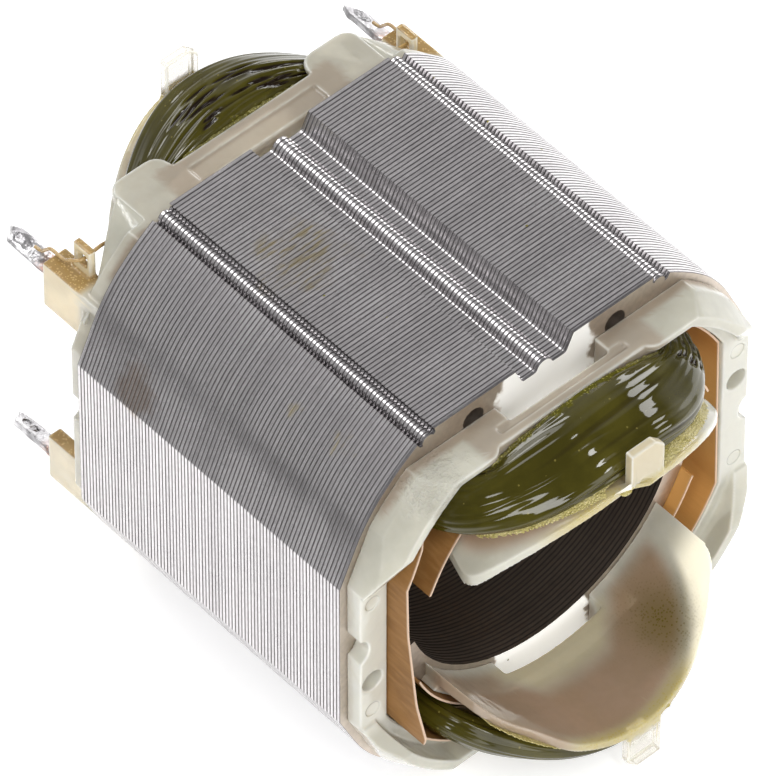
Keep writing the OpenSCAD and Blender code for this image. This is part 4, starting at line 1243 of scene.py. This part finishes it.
def slot_paper(name, side, front_at_back, rear):
    """A sheet along the path: its front edge at the back wall is given by height, rear is its other edge."""
    heights, reaches = front_at_back
    front = np.interp(wall_side[:, 1], heights, reaches)
    at_shoe = np.interp(wall_side[:, 1], (-8, 8), (reaches[0] - 0.4, reaches[-1] + 2.2))
    front = np.where(on_shoe, at_shoe, front)
    front = np.where(np.abs(wall_side[:, 0]) < 14.0, np.minimum(front, half_len + 4.2), front)
    share = np.append(np.linspace(0, 0.996, 8), 1.0)[None, :]
    h = rear + (front[:, None] - rear) * share
    x = np.concatenate([wall_side[:, :1] + 0 * h, coil_side[:, :1] + 0 * h], axis=1)
    z = np.concatenate([wall_side[:, 1:] + 0 * h, coil_side[:, 1:] + 0 * h], axis=1)
    cols = share.shape[1]
    x[:, cols:] = x[:, cols:][:, ::-1]
    z[:, cols:] = z[:, cols:][:, ::-1]
    h = np.concatenate([h, h[:, ::-1]], axis=1)
    cut = np.zeros_like(h)
    cut[:, [cols - 1, cols]] = 1.0
    points = world_points(side * x, z, h)
    return mesh_from(name, points, tube_faces(path_count, 2 * cols), cut=cut)

# %% Both slot papers
left_front = ((-20, -12.2, -10.8, -6, 4, 13, 15.6, 17, 20),
              (23.6, 24.0, 28.0, 26.3, 25.0, 24.8, 24.2, 22.6, 22.6))
right_front = ((-20, 20), (22.0, 21.4))
for hand, side, front_edge, rear_edge in (("left", -1, left_front, -21.4), ("right", 1, right_front, -25.0)):
    mesh = slot_paper(f"{hand}_paper", side, front_edge, rear_edge)
    finish_piece(mesh, [f"{hand}_slot_liner"], [paper_brown], 40)

# %% [markdown]
# ## Tags and leads
# The four tags are stamped strips, dipped in solder by hand: dull grey, lumpy and pitted, with bare copper
# showing near the tower. The leads are the ends of the windings, laid from the coil's shoulder through the
# eyelet and over the tower onto the tag. Tags become rounded copies pressed about by noise, a drop of solder
# is a ball with uneven reach, and leads are round tubes along the route of their solids.

# %% Solder and wire materials
solder, tree, shader = new_material("dull_solder", Metallic=0.9, Roughness=0.34)
cloudy = use_group(tree, mottle, Cloud_Scale=600.0, Grain_Scale=3200.0)
along = axes_of(tree, object_spot(tree))["Y"]
tinned = blend(tree, cloudy["Cloud"], colour(0.36, 0.35, 0.36), colour(0.68, 0.67, 0.68))
near_tower = between(tree, along, (half_len + 9.0) * MM, (half_len + 11.2) * MM, 0.85, 0.0)
tinned = blend(tree, times(tree, near_tower, cloudy["Grain"]), tinned, colour(0.36, 0.13, 0.05))
connect(tree, shader, Base_Color=tinned)
bumped(tree, shader, cloudy["Cloud"], 0.00012)

wire, tree, shader = new_material("enamelled_wire", Roughness=0.25, Coat_Weight=0.8, Coat_Roughness=0.1)
cloudy = use_group(tree, mottle, Cloud_Scale=300.0, Grain_Scale=2400.0)
body = blend(tree, cloudy["Cloud"], colour(0.3, 0.17, 0.05), colour(0.42, 0.26, 0.09))
connect(tree, shader, Base_Color=blend(tree, cloudy["Grain"], body, colour(0.5, 0.34, 0.14)))

# %% Tags
for number, (corner, *_) in enumerate(four_corners):
    shape, points = rounded_copy(f"{corner}_tag", f"{corner}_soldered_tag", 0.11, 4)
    lumps = value_noise(points[:, 1] * 0.9 + 60, points[:, 0] + points[:, 2] * 0.8 + 60, (128, 128),
                        40 + number)
    pressed = points + point_normals(shape) * (0.06 * lumps - 0.04)[:, None]
    shape.vertices.foreach_set("co", (pressed * MM).astype(np.float32).ravel())
    finish_piece(shape, [f"{corner}_tag"], [solder], 80)

# %% Solder drops
tag_lean = math.radians(25)
tag_x = 23.1
tag_z = 14.7
for number, (corner, side, pole) in enumerate(four_corners):
    ball, faces = lumpy_ball(80 + number)
    across, along, over = (ball * (0.75, 1.3, 0.42)).T
    points = world_points(side * (tag_x + across * math.cos(tag_lean) + over * math.sin(tag_lean)),
                          pole * (tag_z - across * math.sin(tag_lean) + over * math.cos(tag_lean)),
                          -half_len - 13.4 - along)
    finish_piece(mesh_from(f"{corner}_solder_drop", points, faces), [], [solder], 70)

# %% Leads
lead_route = np.array([
    (17.75, 18.38, 5.0), (19.62, 18.79, 5.0), (21.2, 18.6, 5.0), (22.5, 18.6, 5.0), (23.1, 18.27, 5.9),
    (23.1, 17.45, 6.98), (23.1, 17.35, 8.9), (23.1, 16.56, 9.8), (23.1, 15.77, 10.52), (23.1, 15.59, 11.52)])


def wire_tube(route, radius, rows, sides):
    """A round tube along a smooth curve through the route's points: each ring stands square to the curve."""
    steps = np.linspace(0, len(route) - 1, rows)
    left = np.clip(steps.astype(int), 0, len(route) - 2)
    t = (steps - left)[:, None]
    p0 = route[np.clip(left - 1, 0, None)]
    p1 = route[left]
    p2 = route[left + 1]
    p3 = route[np.clip(left + 2, None, len(route) - 1)]
    centre = 0.5 * (2 * p1 + (p2 - p0) * t + (2 * p0 - 5 * p1 + 4 * p2 - p3) * t ** 2
                    + (3 * p1 - p0 - 3 * p2 + p3) * t ** 3)
    along = np.gradient(centre, axis=0)
    along = along / np.linalg.norm(along, axis=1, keepdims=True)
    across = np.cross(along, [0.3, 0.9, 0.3])
    across = across / np.linalg.norm(across, axis=1, keepdims=True)
    over = np.cross(across, along)
    turn = np.linspace(0, 2 * math.pi, sides + 1)[:-1, None]
    ring = np.cos(turn)[None] * across[:, None] + np.sin(turn)[None] * over[:, None]
    return centre[:, None] + radius * ring


lead_r, lead_rows, lead_sides = (0.2, 70, 14)
lead_tube = wire_tube(lead_route, lead_r, lead_rows, lead_sides)
for corner, side, pole in four_corners:
    points = world_points(side * lead_tube[..., 0], pole * lead_tube[..., 1], -half_len - lead_tube[..., 2])
    faces = tube_faces(lead_rows, lead_sides)
    finish_piece(mesh_from(f"{corner}_wire_end", points, faces), [f"{corner}_lead"], [wire], 70)
